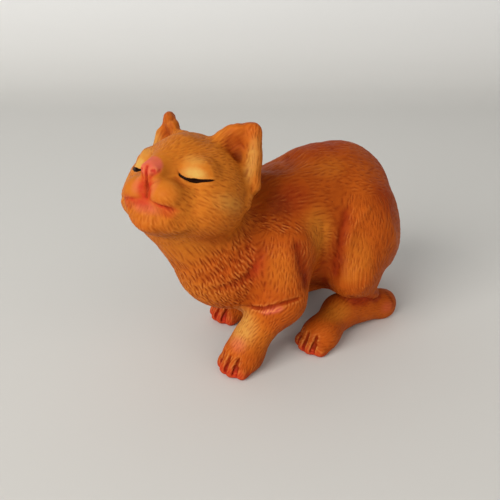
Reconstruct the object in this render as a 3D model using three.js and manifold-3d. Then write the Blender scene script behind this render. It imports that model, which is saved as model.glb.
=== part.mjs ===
// Kitten figurine: a ginger cat in cast resin, standing low with its back arched and its head raised.
// Units are millimetres. +Z is up, the kitten faces -Y, and +X is its left side.
// The whole kitten is sculpted as one field of rounded forms melted together. Flat cuts part it into
// castings, and each casting is skinned by itself, finer where the form is small.
import * as THREE from "three";
import { ConvexGeometry } from "three/addons/geometries/ConvexGeometry.js";
import { mergeVertices } from "three/addons/utils/BufferGeometryUtils.js";
import Module from "manifold-3d";

const wasm = await Module();
wasm.setup();

const V = (x, y, z) => new THREE.Vector3(x, y, z);
const degrees = THREE.MathUtils.degToRad;
const { lerp, clamp } = THREE.MathUtils;

// Joints between the castings: a tapered spigot under the head, and a steel pin in each thin joint
const SEAM = 0.3;
const SPIGOT_DIAMETER = 10;
const SPIGOT_TAPER = 2;
const SPIGOT_LENGTH = 7;
const SPIGOT_ROOT = 1;
const SPIGOT_SIDES = 32;
const PIN_DIAMETER = 1.6;
const PIN_LENGTH = 10;
const PIN_SIDES = 16;

// Skin: the edge of a grid cell on each kind of casting
const BODY_CELL = 2.7;
const HEAD_CELL = 1.5;
const LEG_CELL = 1.6;
const TAIL_CELL = 2.1;

// How widely two forms melt into each other
const TOE_MELT = 0.8;
const CRISP_MELT = 1;
const NARROW_MELT = 1.5;
const SMALL_MELT = 2;
const LIMB_MELT = 3;
const TORSO_MELT = 4;
const WIDE_MELT = 5;
const RUMP_MELT = 6;

// Head: its place over the neck and how it is turned
const HEAD = V(-1.6, -33.4, 48.2);
const HEAD_YAW = degrees(19.7);
const HEAD_LIFT = degrees(23.3);

// Head: places and radii in the head's own frame, with the face towards -Y
const SKULL = { at: V(0, 0.5, 0.5), radii: [13.7, 12, 11.2] };
const CHEEK = { at: V(7, -2.3, -4.4), radii: [7.8, 8.3, 6.6] };
const LID = { at: V(7.3, -7.8, 3.2), radii: [3.9, 2.4, 3] };
const WHISKER_PAD = { at: V(3.6, -11.6, -3.6), radii: [4.7, 4.7, 4.1] };
const CHIN = { at: V(0, -10, -9), radii: [5.5, 5, 3.6] };
const NOSE = { at: V(0, -14.9, 1.2), radii: [2.5, 1.7, 1.9] };
const BROW = V(0, -6, 6);
const BROW_RADIUS = 4.6;
const BRIDGE_RADIUS = 2.4;
const EAR = {
  root: V(4.8, 0, 10.4),
  crown: V(9.2, 1.2, 14.4),
  tip: V(12.2, 2.6, 15.1),
  outer: V(14.3, 4.2, 2.6),
  floor: V(9.5, 5, 8),
};
const EAR_ROOT_RADIUS = 1.7;
const EAR_RIM_RADIUS = 1.4;

// Body: rib cage, chest, belly, rump and throat
const RIBS = { at: V(0, -3.8, 33), radii: [13.5, 17.6, 17.4] };
const CHEST = { at: V(-0.5, -20, 26), radii: [12.5, 16, 12.5] };
const BELLY = { at: V(0, 2, 23.5), radii: [13, 17, 13] };
const RUMP = { at: V(0, 13.5, 32), radii: [14.5, 19.5, 19.2] };
const THROAT = V(-1, -25, 29);
const THROAT_RADIUS = 12;
const JAW_FROM_HEAD = V(-0.9, -1.6, -7.2);
const JAW_RADIUS = 9.5;

// Forelegs: the left one reaches forward, the right one stands back under the chest
const SHOULDER = V(9.5, -14, 29);
const SHOULDER_RADIUS = 8.5;
const ARM_RADIUS = 6.5;
const ELBOW_RADIUS = 5.8;
const WRIST_RADIUS = 4.3;
const LEFT_FORELEG = { elbow: V(12.3, -17, 18.5), wrist: V(8.9, -23.6, 8), paw: V(8.6, -26, 0) };
const RIGHT_FORELEG = { elbow: V(-12.5, -9.4, 18), wrist: V(-13.4, -10, 8), paw: V(-13.7, -11.6, 0) };

// Hind legs: places on the left side, and how far the right foot stands from the mirrored place
const HIP = { at: V(10.5, 14, 26), radii: [9, 15, 15] };
const KNEE = V(15.3, 6.5, 19.5);
const HOCK = V(13.6, 15.6, 12);
const HEEL = { at: V(13.6, 22.5, 3.7), radii: [4.1, 4.4, 4.3] };
const INSTEP = V(11.3, 7, 5.6);
const HIND_PAW = V(14.2, -3.5, 0);
const RIGHT_FOOT_STEP = V(-2, 6.5, 0);
const THIGH_RADIUS = 9.5;
const KNEE_RADIUS = 6.2;
const HOCK_RADIUS = 4.5;
const HEEL_RADIUS = 3.9;
const INSTEP_RADIUS = 4.7;
const FOOT_RADIUS = 4;

// Paws: a rounded pad with four toes, pressed flat on the ground
const PAW_RADII = [4.9, 5.2, 4.2];
const TOE_COUNT = 4;
const TOE_RADIUS = 1.8;
const TOE_PITCH = 2.4;
const TOE_REACH = 4.6;
const OUTER_TOE_SETBACK = 1.3;
const SOLE_DEPTH = 0.6;
const TOE_DEPTH = 0.3;

// Tail: its path from the rump, round the right heel and along the right foot
const TAIL = [
  V(-0.5, 27, 24),
  V(-2, 34, 17.5),
  V(-6.5, 37.5, 9.5),
  V(-14.5, 37.5, 4.4),
  V(-22, 32, 3.4),
  V(-25.6, 22, 3),
  V(-25.6, 10, 2.7),
  V(-23.6, 2, 2.4),
];
const TAIL_ROOT_RADIUS = 4.4;
const TAIL_TIP_RADIUS = 2.7;
const TAIL_STEPS = 16;

// Partings: how far each stands above its elbow or hock, how it tilts towards the back and leans towards
// the belly. Each face is an ellipse round the limb, in the face's own axes, and stops at its neighbours.
const NECK_DROP = 6.8;
const NECK_TILT = degrees(27);
const NECK_FACE = { middle: [0, -1.5], radii: [26, 29] };
const HEAD_ROOM = 40;
const LEFT_FORE_PARTING = { rise: 0.7, tilt: 0, lean: degrees(17) };
const LEFT_FORE_FACE = { middle: [1, 0], radii: [7.5, 8.5] };
const RIGHT_FORE_PARTING = { rise: -1.5, tilt: degrees(5), lean: degrees(22) };
const RIGHT_FORE_FACE = { middle: [1, 0], radii: [7.3, 8] };
const HIND_PARTING = { rise: -2.2, tilt: degrees(8), lean: 0 };
const HIND_FACE = { middle: [1.5, 3], radii: [8.4, 19] };
const FACE_POINTS = 32;
const PAW_ROOM = 1.2;

// The space that the whole kitten is skinned in, and the ground that cuts the soles flat
const KITTEN_REACH = new THREE.Box3(V(-40, -70, -5), V(40, 60, 90));
const GROUND_WIDTH = 400;
const GROUND_DEPTH = 40;

// Paint and steel
const GINGER_PAINT = { color: 0xb5652b, roughness: 0.55, metalness: 0 };
const FAWN_PAINT = { color: 0xc27a3c, roughness: 0.55, metalness: 0 };
const RUST_PAINT = { color: 0xa04e22, roughness: 0.55, metalness: 0 };
const STEEL = { color: 0xb9bcc0, roughness: 0.35, metalness: 1 };

const mirror = (v) => V(-v.x, v.y, v.z);
const turned = (origin, turn) => new THREE.Matrix4().compose(origin, turn, V(1, 1, 1));
const placed = (origin, angles) => turned(origin, new THREE.Quaternion().setFromEuler(angles));
const headFrame = placed(HEAD, new THREE.Euler(-HEAD_LIFT, 0, HEAD_YAW, "ZXY"));

// Fields: each one gives a point's distance from a surface, and is below zero inside it
function ball({ at, radii: [a, b, c] }) {
  const q = V();
  return (p) => {
    q.copy(p).sub(at);
    const near = Math.hypot(q.x / a, q.y / b, q.z / c);
    const slope = Math.hypot(q.x / a ** 2, q.y / b ** 2, q.z / c ** 2);
    return slope > 0 ? (near * (near - 1)) / slope : -Math.min(a, b, c);
  };
}

function limb(from, to, fromRadius, toRadius) {
  const run = to.clone().sub(from);
  const q = V();
  return (p) => {
    q.copy(p).sub(from);
    const share = clamp(q.dot(run) / run.lengthSq(), 0, 1);
    return q.addScaledVector(run, -share).length() - lerp(fromRadius, toRadius, share);
  };
}

function leaf(a, b, c, radius) {
  const face = new THREE.Triangle(a, b, c);
  const q = V();
  return (p) => face.closestPointToPoint(p, q).distanceTo(p) - radius;
}

function crate(box) {
  const middle = box.getCenter(V());
  const half = box.getSize(V()).divideScalar(2);
  const q = V();
  return (p) => {
    q.copy(p).sub(middle);
    return Math.max(Math.abs(q.x) - half.x, Math.abs(q.y) - half.y, Math.abs(q.z) - half.z);
  };
}

function inHead(field) {
  const back = headFrame.clone().invert();
  const q = V();
  return (p) => field(q.copy(p).applyMatrix4(back));
}

function melt(a, b, width) {
  const share = Math.max(width - Math.abs(a - b), 0) / width;
  return Math.min(a, b) - (share * share * width) / 4;
}

// A sculpt melts its forms into each other in turn; each form comes with the width of its melt
const FAR = 1e3;
const sculpt = (forms) => (p) => forms.reduce((d, [field, width]) => melt(d, field(p), width), FAR);

function earForms(side) {
  const [root, crown, tip, outer, floor] = Object.values(EAR).map((v) => (side > 0 ? v : mirror(v)));
  return [
    [limb(root, crown, EAR_ROOT_RADIUS, EAR_RIM_RADIUS), NARROW_MELT],
    [limb(crown, tip, EAR_RIM_RADIUS, EAR_RIM_RADIUS), NARROW_MELT],
    [limb(outer, tip, EAR_ROOT_RADIUS, EAR_RIM_RADIUS), NARROW_MELT],
    [leaf(root, crown, floor, EAR_RIM_RADIUS), CRISP_MELT],
    [leaf(crown, tip, floor, EAR_RIM_RADIUS), CRISP_MELT],
    [leaf(outer, tip, floor, EAR_RIM_RADIUS), CRISP_MELT],
  ];
}

function faceForms(side) {
  const form = ({ at, radii }) => ball({ at: side > 0 ? at : mirror(at), radii });
  return [
    [form(CHEEK), WIDE_MELT],
    [form(WHISKER_PAD), SMALL_MELT],
    [form(LID), SMALL_MELT],
  ];
}

function headForms() {
  const forms = [
    [ball(SKULL), CRISP_MELT],
    [ball(CHIN), LIMB_MELT],
    [limb(BROW, NOSE.at, BROW_RADIUS, BRIDGE_RADIUS), LIMB_MELT],
    ...[1, -1].flatMap((side) => [...faceForms(side), ...earForms(side)]),
    [ball(NOSE), CRISP_MELT],
  ];
  return forms.map(([field, width]) => [inHead(field), width]);
}

function pawForms(place) {
  const at = place.clone().setZ(PAW_RADII[2] - SOLE_DEPTH);
  const toes = Array.from({ length: TOE_COUNT }, (_, i) => {
    const fromMiddle = i - (TOE_COUNT - 1) / 2;
    const outermost = i === 0 || i === TOE_COUNT - 1;
    const root = at.clone().add(V(fromMiddle * TOE_PITCH, 0, 0));
    const reach = TOE_REACH - (outermost ? OUTER_TOE_SETBACK : 0);
    const tip = V(root.x, at.y - reach, TOE_RADIUS - TOE_DEPTH);
    return [limb(root, tip, TOE_RADIUS, TOE_RADIUS), TOE_MELT];
  });
  return [[ball({ at, radii: PAW_RADII }), LIMB_MELT], ...toes];
}

function forelegForms(shoulder, { elbow, wrist, paw }) {
  const ankle = paw.clone().setZ(WRIST_RADIUS - TOE_DEPTH);
  return [
    [limb(shoulder, elbow, SHOULDER_RADIUS, ARM_RADIUS), WIDE_MELT],
    [limb(elbow, wrist, ELBOW_RADIUS, WRIST_RADIUS), LIMB_MELT],
    [limb(wrist, ankle, WRIST_RADIUS, WRIST_RADIUS), SMALL_MELT],
    ...pawForms(paw),
  ];
}

// The places of one hind leg, from hip to toes
function hindLeg(side) {
  const foot = (v) => (side > 0 ? v : mirror(v).add(RIGHT_FOOT_STEP));
  return {
    hip: side > 0 ? HIP.at : mirror(HIP.at),
    knee: side > 0 ? KNEE : mirror(KNEE),
    hock: foot(HOCK),
    heel: foot(HEEL.at),
    instep: foot(INSTEP),
    paw: foot(HIND_PAW),
  };
}

const footPlaces = ({ paw, instep, heel }) => [paw, instep, heel];

function hindLegForms({ hip, knee, hock, heel, instep, paw }) {
  const ballOfFoot = paw.clone().setZ(FOOT_RADIUS - TOE_DEPTH);
  return [
    [ball({ at: hip, radii: HIP.radii }), TORSO_MELT],
    [limb(hip, knee, THIGH_RADIUS, KNEE_RADIUS), LIMB_MELT],
    [limb(knee, hock, KNEE_RADIUS, HOCK_RADIUS), LIMB_MELT],
    [ball({ at: heel, radii: HEEL.radii }), NARROW_MELT],
    [limb(heel, instep, HEEL_RADIUS, INSTEP_RADIUS), SMALL_MELT],
    [limb(instep, ballOfFoot, INSTEP_RADIUS, FOOT_RADIUS), SMALL_MELT],
    ...pawForms(paw),
  ];
}

function torsoForms() {
  const jaw = HEAD.clone().add(JAW_FROM_HEAD);
  return [
    [ball(RIBS), CRISP_MELT],
    [ball(CHEST), TORSO_MELT],
    [ball(BELLY), TORSO_MELT],
    [ball(RUMP), RUMP_MELT],
    [limb(THROAT, jaw, THROAT_RADIUS, JAW_RADIUS), TORSO_MELT],
  ];
}

const leftHindLeg = hindLeg(1);
const rightHindLeg = hindLeg(-1);
const kittenField = sculpt([
  ...torsoForms(),
  ...forelegForms(SHOULDER, LEFT_FORELEG),
  ...forelegForms(mirror(SHOULDER), RIGHT_FORELEG),
  ...hindLegForms(leftHindLeg),
  ...hindLegForms(rightHindLeg),
  ...headForms(),
]);

// The tail is cut back by the kitten, so that it sits on the rump with a seam's gap
const tailPath = new THREE.CatmullRomCurve3(TAIL);

function tailForms() {
  const points = tailPath.getPoints(TAIL_STEPS);
  const radius = (i) => lerp(TAIL_ROOT_RADIUS, TAIL_TIP_RADIUS, i / TAIL_STEPS);
  return points.slice(1).map((to, i) => [limb(points[i], to, radius(i), radius(i + 1)), CRISP_MELT]);
}

const tailSculpt = sculpt(tailForms());
const tailField = (p) => Math.max(tailSculpt(p), SEAM - kittenField(p));

// Surface nets: one point in each grid cell that the surface crosses, drawn onto the surface itself,
// and one four-sided face round each grid edge that crosses it
const CORNERS = Array.from({ length: 8 }, (_, c) => V(c & 1, (c >> 1) & 1, c >> 2));
const EDGES = [1, 2, 4].flatMap((bit) =>
  CORNERS.map((_, c) => [c, c | bit]).filter(([c, end]) => c !== end),
);

function skin(field, box, cell) {
  const walls = crate(box);
  const closed = (p) => Math.max(field(p), walls(p));
  const start = box.min.clone().subScalar(cell);
  const count = box.getSize(V()).divideScalar(cell).ceil().addScalar(3);
  const stride = [1, count.x, count.x * count.y];
  const corner = (n) =>
    V(n % count.x, Math.floor(n / stride[1]) % count.y, Math.floor(n / stride[2]))
      .multiplyScalar(cell)
      .add(start);
  const value = new Float32Array(stride[2] * count.z).map((_, n) => closed(corner(n)));
  unpinch(value, stride, cell);
  const reach = CORNERS.map(({ x, y, z }) => x * stride[0] + y * stride[1] + z * stride[2]);

  const points = [];
  const pointOf = new Map();
  value.forEach((_, n) => {
    const d = reach.map((r) => value[n + r]);
    const crossed = EDGES.filter(([a, b]) => d[a] < 0 !== d[b] < 0);
    if (crossed.length === 0) return;
    const p = V(0, 0, 0);
    for (const [a, b] of crossed) {
      p.add(V().lerpVectors(CORNERS[a], CORNERS[b], d[a] / (d[a] - d[b])));
    }
    p.multiplyScalar(cell / crossed.length).add(corner(n));
    pointOf.set(n, points.length);
    points.push(settle(p, closed, cell));
  });

  const faces = [];
  value.forEach((d, n) => {
    for (const axis of [0, 1, 2]) {
      const inside = d < 0;
      if (inside === value[n + stride[axis]] < 0) continue;
      const u = stride[(axis + 1) % 3];
      const w = stride[(axis + 2) % 3];
      const ring = [n - u - w, n - w, n, n - u].map((c) => pointOf.get(c));
      if (!inside) ring.reverse();
      const [a, b, c, e] = ring;
      const slim = points[a].distanceToSquared(points[c]) > points[b].distanceToSquared(points[e]);
      faces.push(...(slim ? [a, b, e, b, c, e] : [a, b, c, a, c, e]));
    }
  });
  return new THREE.BufferGeometry().setFromPoints(points).setIndex(faces);
}

// The skin would pinch at a grid face whose corners are inside and outside by turns,
// so the outside corner that is nearer the surface is taken inside until no such face is left
function unpinch(value, [x, y, z], cell) {
  const barelyInside = -cell / 100;
  const inside = (c) => value[c] < 0;
  let pinches = 1;
  while (pinches > 0) {
    pinches = 0;
    for (let n = 0; n < value.length; n++) {
      for (const [u, w] of [[x, y], [y, z], [z, x]]) {
        const near = [n, n + u + w];
        const far = [n + u, n + w];
        const alternates = inside(near[0]) === inside(near[1]) && inside(far[0]) === inside(far[1]);
        if (!alternates || inside(near[0]) === inside(far[0])) continue;
        const [a, b] = inside(near[0]) ? far : near;
        value[value[a] < value[b] ? a : b] = barelyInside;
        pinches += 1;
      }
    }
  }
}

// Moves a point along the field's slope onto the surface, by less than half a cell
function settle(p, field, cell) {
  const nudge = cell / 20;
  const step = cell / 4;
  const leastSlope = 0.5;
  const along = (axis) => {
    const offset = V().setComponent(axis, nudge);
    return (field(p.clone().add(offset)) - field(p.clone().sub(offset))) / (2 * nudge);
  };
  for (let turn = 0; turn < 2; turn++) {
    const slope = V(along(0), along(1), along(2));
    const move = clamp(-field(p), -step, step) / Math.max(slope.length(), leastSlope);
    p.addScaledVector(slope.normalize(), move);
  }
  return p;
}

// Solids for cutting and joining
function solid(geometry, frame = new THREE.Matrix4()) {
  const plain = geometry.clone().applyMatrix4(frame);
  plain.deleteAttribute("normal");
  plain.deleteAttribute("uv");
  const merged = mergeVertices(plain);
  const mesh = new wasm.Mesh({
    numProp: 3,
    vertProperties: new Float32Array(merged.attributes.position.array),
    triVerts: new Uint32Array(merged.index.array),
  });
  return new wasm.Manifold(mesh);
}

function rod(frame, startDiameter, endDiameter, from, to, sides) {
  const cylinder = new THREE.CylinderGeometry(endDiameter / 2, startDiameter / 2, to - from, sides);
  return solid(cylinder.rotateX(Math.PI / 2).translate(0, 0, (from + to) / 2), frame);
}

const groundBlock = new THREE.BoxGeometry(GROUND_WIDTH, GROUND_WIDTH, GROUND_DEPTH);
const ground = solid(groundBlock.translate(0, 0, -GROUND_DEPTH / 2));
const cast = (field, box, cell) => solid(skin(field, box, cell)).subtract(ground);

// A room holds one casting. It is the hull between a parting face, whose own +Z points into the casting,
// and the corners of a second face beyond the casting.
function faceOutline({ middle: [x, y], radii: [a, b] }, side, clearance) {
  const ellipse = new THREE.EllipseCurve(side * x, y, a + clearance, b + clearance);
  return ellipse.getPoints(FACE_POINTS).slice(1).map((p) => V(p.x, p.y, -clearance));
}

function roomCorners({ frame, face, side, beyond }, clearance) {
  return [...faceOutline(face, side, clearance).map((p) => p.applyMatrix4(frame)), ...beyond];
}

const roomSolid = (room, clearance) => solid(new ConvexGeometry(roomCorners(room, clearance)));

function headRoom() {
  const turn = new THREE.Euler(NECK_TILT, 0, 0);
  const along = V(0, 0, 1).applyEuler(turn);
  const frame = placed(HEAD.clone().addScaledVector(along, -NECK_DROP), turn);
  const top = faceOutline(NECK_FACE, 1, 0).map((p) => p.setZ(HEAD_ROOM).applyMatrix4(frame));
  return { frame, face: NECK_FACE, side: 1, beyond: top };
}

// A leg's room hangs from its parting face, with +Y forwards, down to the ground round the whole foot
function legRoom(side, joint, foot, { rise, tilt, lean }, face) {
  const frame = placed(joint.clone().add(V(0, 0, rise)), new THREE.Euler(Math.PI - tilt, side * lean, 0));
  const halfWidth = ((TOE_COUNT - 1) / 2) * TOE_PITCH + TOE_RADIUS + PAW_ROOM;
  const length = TOE_REACH + TOE_RADIUS + PAW_ROOM;
  const { min, max } = new THREE.Box3().setFromPoints(foot).expandByVector(V(halfWidth, length, 0));
  const corners = [V(min.x, min.y), V(max.x, min.y), V(max.x, max.y), V(min.x, max.y)];
  return { frame, face, side, beyond: corners.map((p) => p.setZ(-PAW_ROOM)) };
}

const rooms = {
  head: headRoom(),
  left_foreleg: legRoom(1, LEFT_FORELEG.elbow, [LEFT_FORELEG.paw], LEFT_FORE_PARTING, LEFT_FORE_FACE),
  right_foreleg: legRoom(-1, RIGHT_FORELEG.elbow, [RIGHT_FORELEG.paw], RIGHT_FORE_PARTING, RIGHT_FORE_FACE),
  left_hind_foot: legRoom(1, leftHindLeg.hock, footPlaces(leftHindLeg), HIND_PARTING, HIND_FACE),
  right_hind_foot: legRoom(-1, rightHindLeg.hock, footPlaces(rightHindLeg), HIND_PARTING, HIND_FACE),
};
const legPaints = {
  left_foreleg: FAWN_PAINT,
  right_foreleg: FAWN_PAINT,
  left_hind_foot: RUST_PAINT,
  right_hind_foot: RUST_PAINT,
};

// The tail's joint stands where its path leaves the rump
const PATH_SAMPLES = 200;
const rootPlace = tailPath.getPoints(PATH_SAMPLES).findIndex((p) => kittenField(p) > 0) / PATH_SAMPLES;
const alongTail = new THREE.Quaternion().setFromUnitVectors(V(0, 0, 1), tailPath.getTangent(rootPlace));
const tailFrame = turned(tailPath.getPoint(rootPlace), alongTail);

function pin(frame) {
  return rod(frame, PIN_DIAMETER, PIN_DIAMETER, -PIN_LENGTH / 2, PIN_LENGTH / 2, PIN_SIDES);
}

function pinBore(frame) {
  const diameter = PIN_DIAMETER + 2 * SEAM;
  const depth = PIN_LENGTH / 2 + SEAM;
  return rod(frame, diameter, diameter, -depth, depth, PIN_SIDES);
}

// The spigot widens upwards into the head, and its socket is larger by a seam all round
function spigot(clearance) {
  const base = SPIGOT_DIAMETER + 2 * clearance;
  const tip = base - SPIGOT_TAPER;
  return rod(rooms.head.frame, tip, base, -SPIGOT_LENGTH - clearance, SPIGOT_ROOT, SPIGOT_SIDES);
}

function roomCasting(room, cell) {
  const reach = new THREE.Box3().setFromPoints(roomCorners(room, cell));
  return cast(kittenField, reach, cell).intersect(roomSolid(room, 0));
}

const headCasting = () => roomCasting(rooms.head, HEAD_CELL).add(spigot(0));
const legCasting = (room) => roomCasting(room, LEG_CELL).subtract(pinBore(room.frame));

function tailCasting() {
  const reach = new THREE.Box3().setFromPoints(TAIL).expandByScalar(2 * TAIL_ROOT_RADIUS);
  return cast(tailField, reach, TAIL_CELL).subtract(pinBore(tailFrame));
}

// The body is the whole kitten less the room of every other casting and the holes for what joins them
function bodyCasting() {
  const { head, ...legRooms } = rooms;
  const cuts = [head, ...Object.values(legRooms)].map((room) => roomSolid(room, SEAM));
  const bores = [...Object.values(legRooms), { frame: tailFrame }].map(({ frame }) => pinBore(frame));
  const holes = wasm.Manifold.union([...cuts, ...bores, spigot(SEAM)]);
  return cast(kittenField, KITTEN_REACH, BODY_CELL).subtract(holes);
}

const kitten = new THREE.Group();

function show(name, part, finish) {
  const { vertProperties, triVerts } = part.getMesh();
  const geometry = new THREE.BufferGeometry()
    .setAttribute("position", new THREE.BufferAttribute(vertProperties, 3))
    .setIndex(new THREE.BufferAttribute(triVerts, 1));
  geometry.computeVertexNormals();
  const mesh = new THREE.Mesh(geometry, new THREE.MeshStandardMaterial(finish));
  mesh.name = name;
  kitten.add(mesh);
}

show("body_casting", bodyCasting(), GINGER_PAINT);
show("head_casting", headCasting(), FAWN_PAINT);
for (const [name, paint] of Object.entries(legPaints)) {
  show(`${name}_casting`, legCasting(rooms[name]), paint);
  show(`${name}_pin`, pin(rooms[name].frame), STEEL);
}
show("tail_casting", tailCasting(), RUST_PAINT);
show("tail_pin", pin(tailFrame), STEEL);

// The origin is on the ground, under the middle of the whole kitten
const whole = new THREE.Box3().setFromObject(kitten);
const middle = whole.getCenter(V());
kitten.position.set(-middle.x, -middle.y, -whole.min.z);

export default kitten;
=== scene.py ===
"""Hand-painted cast-resin kitten: its castings, sculpted with fur and painted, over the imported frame."""

import sys

import logging
import math
from dataclasses import dataclass, field, replace
from enum import Enum
from typing import Sequence

import bmesh
import bpy
import numpy as np
from mathutils import Euler, Matrix, Vector


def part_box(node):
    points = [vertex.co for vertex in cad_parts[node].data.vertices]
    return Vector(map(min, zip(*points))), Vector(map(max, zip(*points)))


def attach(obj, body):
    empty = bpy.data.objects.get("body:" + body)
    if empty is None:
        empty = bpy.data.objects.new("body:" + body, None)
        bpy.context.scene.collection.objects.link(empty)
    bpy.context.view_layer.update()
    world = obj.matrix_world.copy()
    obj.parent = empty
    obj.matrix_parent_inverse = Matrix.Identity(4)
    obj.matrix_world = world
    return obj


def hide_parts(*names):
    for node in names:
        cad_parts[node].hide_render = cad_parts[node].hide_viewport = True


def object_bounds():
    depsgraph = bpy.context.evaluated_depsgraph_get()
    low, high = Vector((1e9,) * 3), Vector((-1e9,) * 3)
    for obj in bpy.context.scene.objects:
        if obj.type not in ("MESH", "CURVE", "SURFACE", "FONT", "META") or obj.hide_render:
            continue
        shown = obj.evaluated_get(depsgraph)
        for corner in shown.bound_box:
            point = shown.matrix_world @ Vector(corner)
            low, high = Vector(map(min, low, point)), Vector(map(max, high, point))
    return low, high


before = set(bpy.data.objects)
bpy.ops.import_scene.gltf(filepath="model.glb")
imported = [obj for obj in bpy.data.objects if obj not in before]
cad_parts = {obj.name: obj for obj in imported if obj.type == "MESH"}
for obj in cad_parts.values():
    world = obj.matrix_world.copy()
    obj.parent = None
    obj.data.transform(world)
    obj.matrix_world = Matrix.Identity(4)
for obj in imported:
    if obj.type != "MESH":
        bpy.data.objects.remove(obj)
CAD_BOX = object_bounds()

log = logging.getLogger("kitten")
logging.basicConfig(level=logging.INFO, format="%(levelname)s %(message)s", stream=sys.stdout)

Array = np.ndarray
Point = tuple[float, float, float]
Flat = tuple[float, float]

MM = 0.001
VOXEL = 0.2
PIECE_TRIANGLES = 196_000
# The copied castings swell by this much, so that the seams between them shut, and come back by nearly as much
SEAM_SWELL = 0.3
SWELL_BACK = 0.27
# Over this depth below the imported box's faces the surface is eased in, and it stays this far inside them
EASING = 0.4
BOX_MARGIN = 0.02
# How much wider a bore or a socket is than its pin or spigot all round, in millimetres
BORE_CLEARANCE = 0.3
# A patch of fewer faces than this, cut off at a seam, goes to the casting round it
STRAY_FACES = 1500
# How often the places where a rim touches itself are looked for and taken out
PINCH_ROUNDS = 12
# The face between the head and the body: its tilt in degrees, and how far below the head's middle it lies
NECK_TILT = 27.0
NECK_DROP = 6.8

# The sculpting frame is in millimetres; the left foreleg's pin stands here in it
PIN_CENTRE = (12.3, -17.0, 19.2)


def sculpting_origin() -> Array:
    """Gives the sculpting frame's origin in the row frame, in millimetres."""
    low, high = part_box("left_foreleg_pin")
    return (np.array(low) + np.array(high)) / 2 / MM - np.array(PIN_CENTRE)


ORIGIN = sculpting_origin()


def neck_axis() -> Array:
    """Gives the direction that the neck's seam faces, upwards."""
    tilt = math.radians(NECK_TILT)
    return np.array((0.0, -math.sin(tilt), math.cos(tilt)))


def smooth(low: float, high: float, x: Array) -> Array:
    """Eases from 0 at low to 1 at high.

    Args:
        low: where the result is 0.
        high: where the result is 1; it may be less than low.
        x: the values.

    Returns:
        The eased values.
    """
    t = np.clip((x - low) / (high - low), 0, 1)
    return t * t * (3 - 2 * t)


def hashed(seed: int, *cells: Array) -> Array:
    """Gives each cell a repeatable random number from 0 to 1.

    Args:
        seed: picks one of many patterns.
        cells: whole numbers that name the cell.

    Returns:
        One number for each cell.
    """
    h = np.full(cells[0].shape, (seed * 0x9E3779B1 + 0x7F4A7C15) & 0xFFFFFFFF, np.uint64)
    for cell in cells:
        h ^= cell.astype(np.int64).astype(np.uint64) & 0xFFFFFFFF
        h = (h * 0x85EBCA6B) & 0xFFFFFFFF
        h ^= h >> 13
        h = (h * 0xC2B2AE35) & 0xFFFFFFFF
        h ^= h >> 16
    return (h & 0xFFFFFF).astype(np.float64) / 0x1000000


@dataclass(frozen=True)
class Place:
    """A frame within the sculpting frame."""

    origin: Point
    turn: Euler

    def _matrix(self) -> Array:
        """Gives the rotation as an array."""
        return np.array(self.turn.to_matrix())

    def local(self, points: Array) -> Array:
        """Gives points of the sculpting frame in this frame."""
        return (points - np.array(self.origin)) @ self._matrix()

    def world(self, points: Array) -> Array:
        """Gives points of this frame in the sculpting frame."""
        return points @ self._matrix().T + np.array(self.origin)


def head_turn() -> Euler:
    """Gives the head's turn: lifted by 23.3 degrees, then turned 19.7 degrees to its left.

    Returns:
        The rotation.
    """
    lift = Matrix.Rotation(math.radians(-23.3), 3, "X")
    yaw = Matrix.Rotation(math.radians(19.7), 3, "Z")
    return (yaw @ lift).to_euler()


BODY = Place((0.0, 0.0, 0.0), Euler((0, 0, 0)))
HEAD = Place((-1.6, -33.4, 48.2), head_turn())
# No fur of the head grows farther than this from its middle
HEAD_REACH = 32.0


class Paint(Enum):
    """The paints, each kept on the mesh as an attribute of that name."""

    OCHRE = "ochre"
    CREAM = "cream"
    RUST = "rust"
    UMBER = "umber"
    BLUSH = "blush"
    ROSE = "rose"
    INK = "ink"


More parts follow.
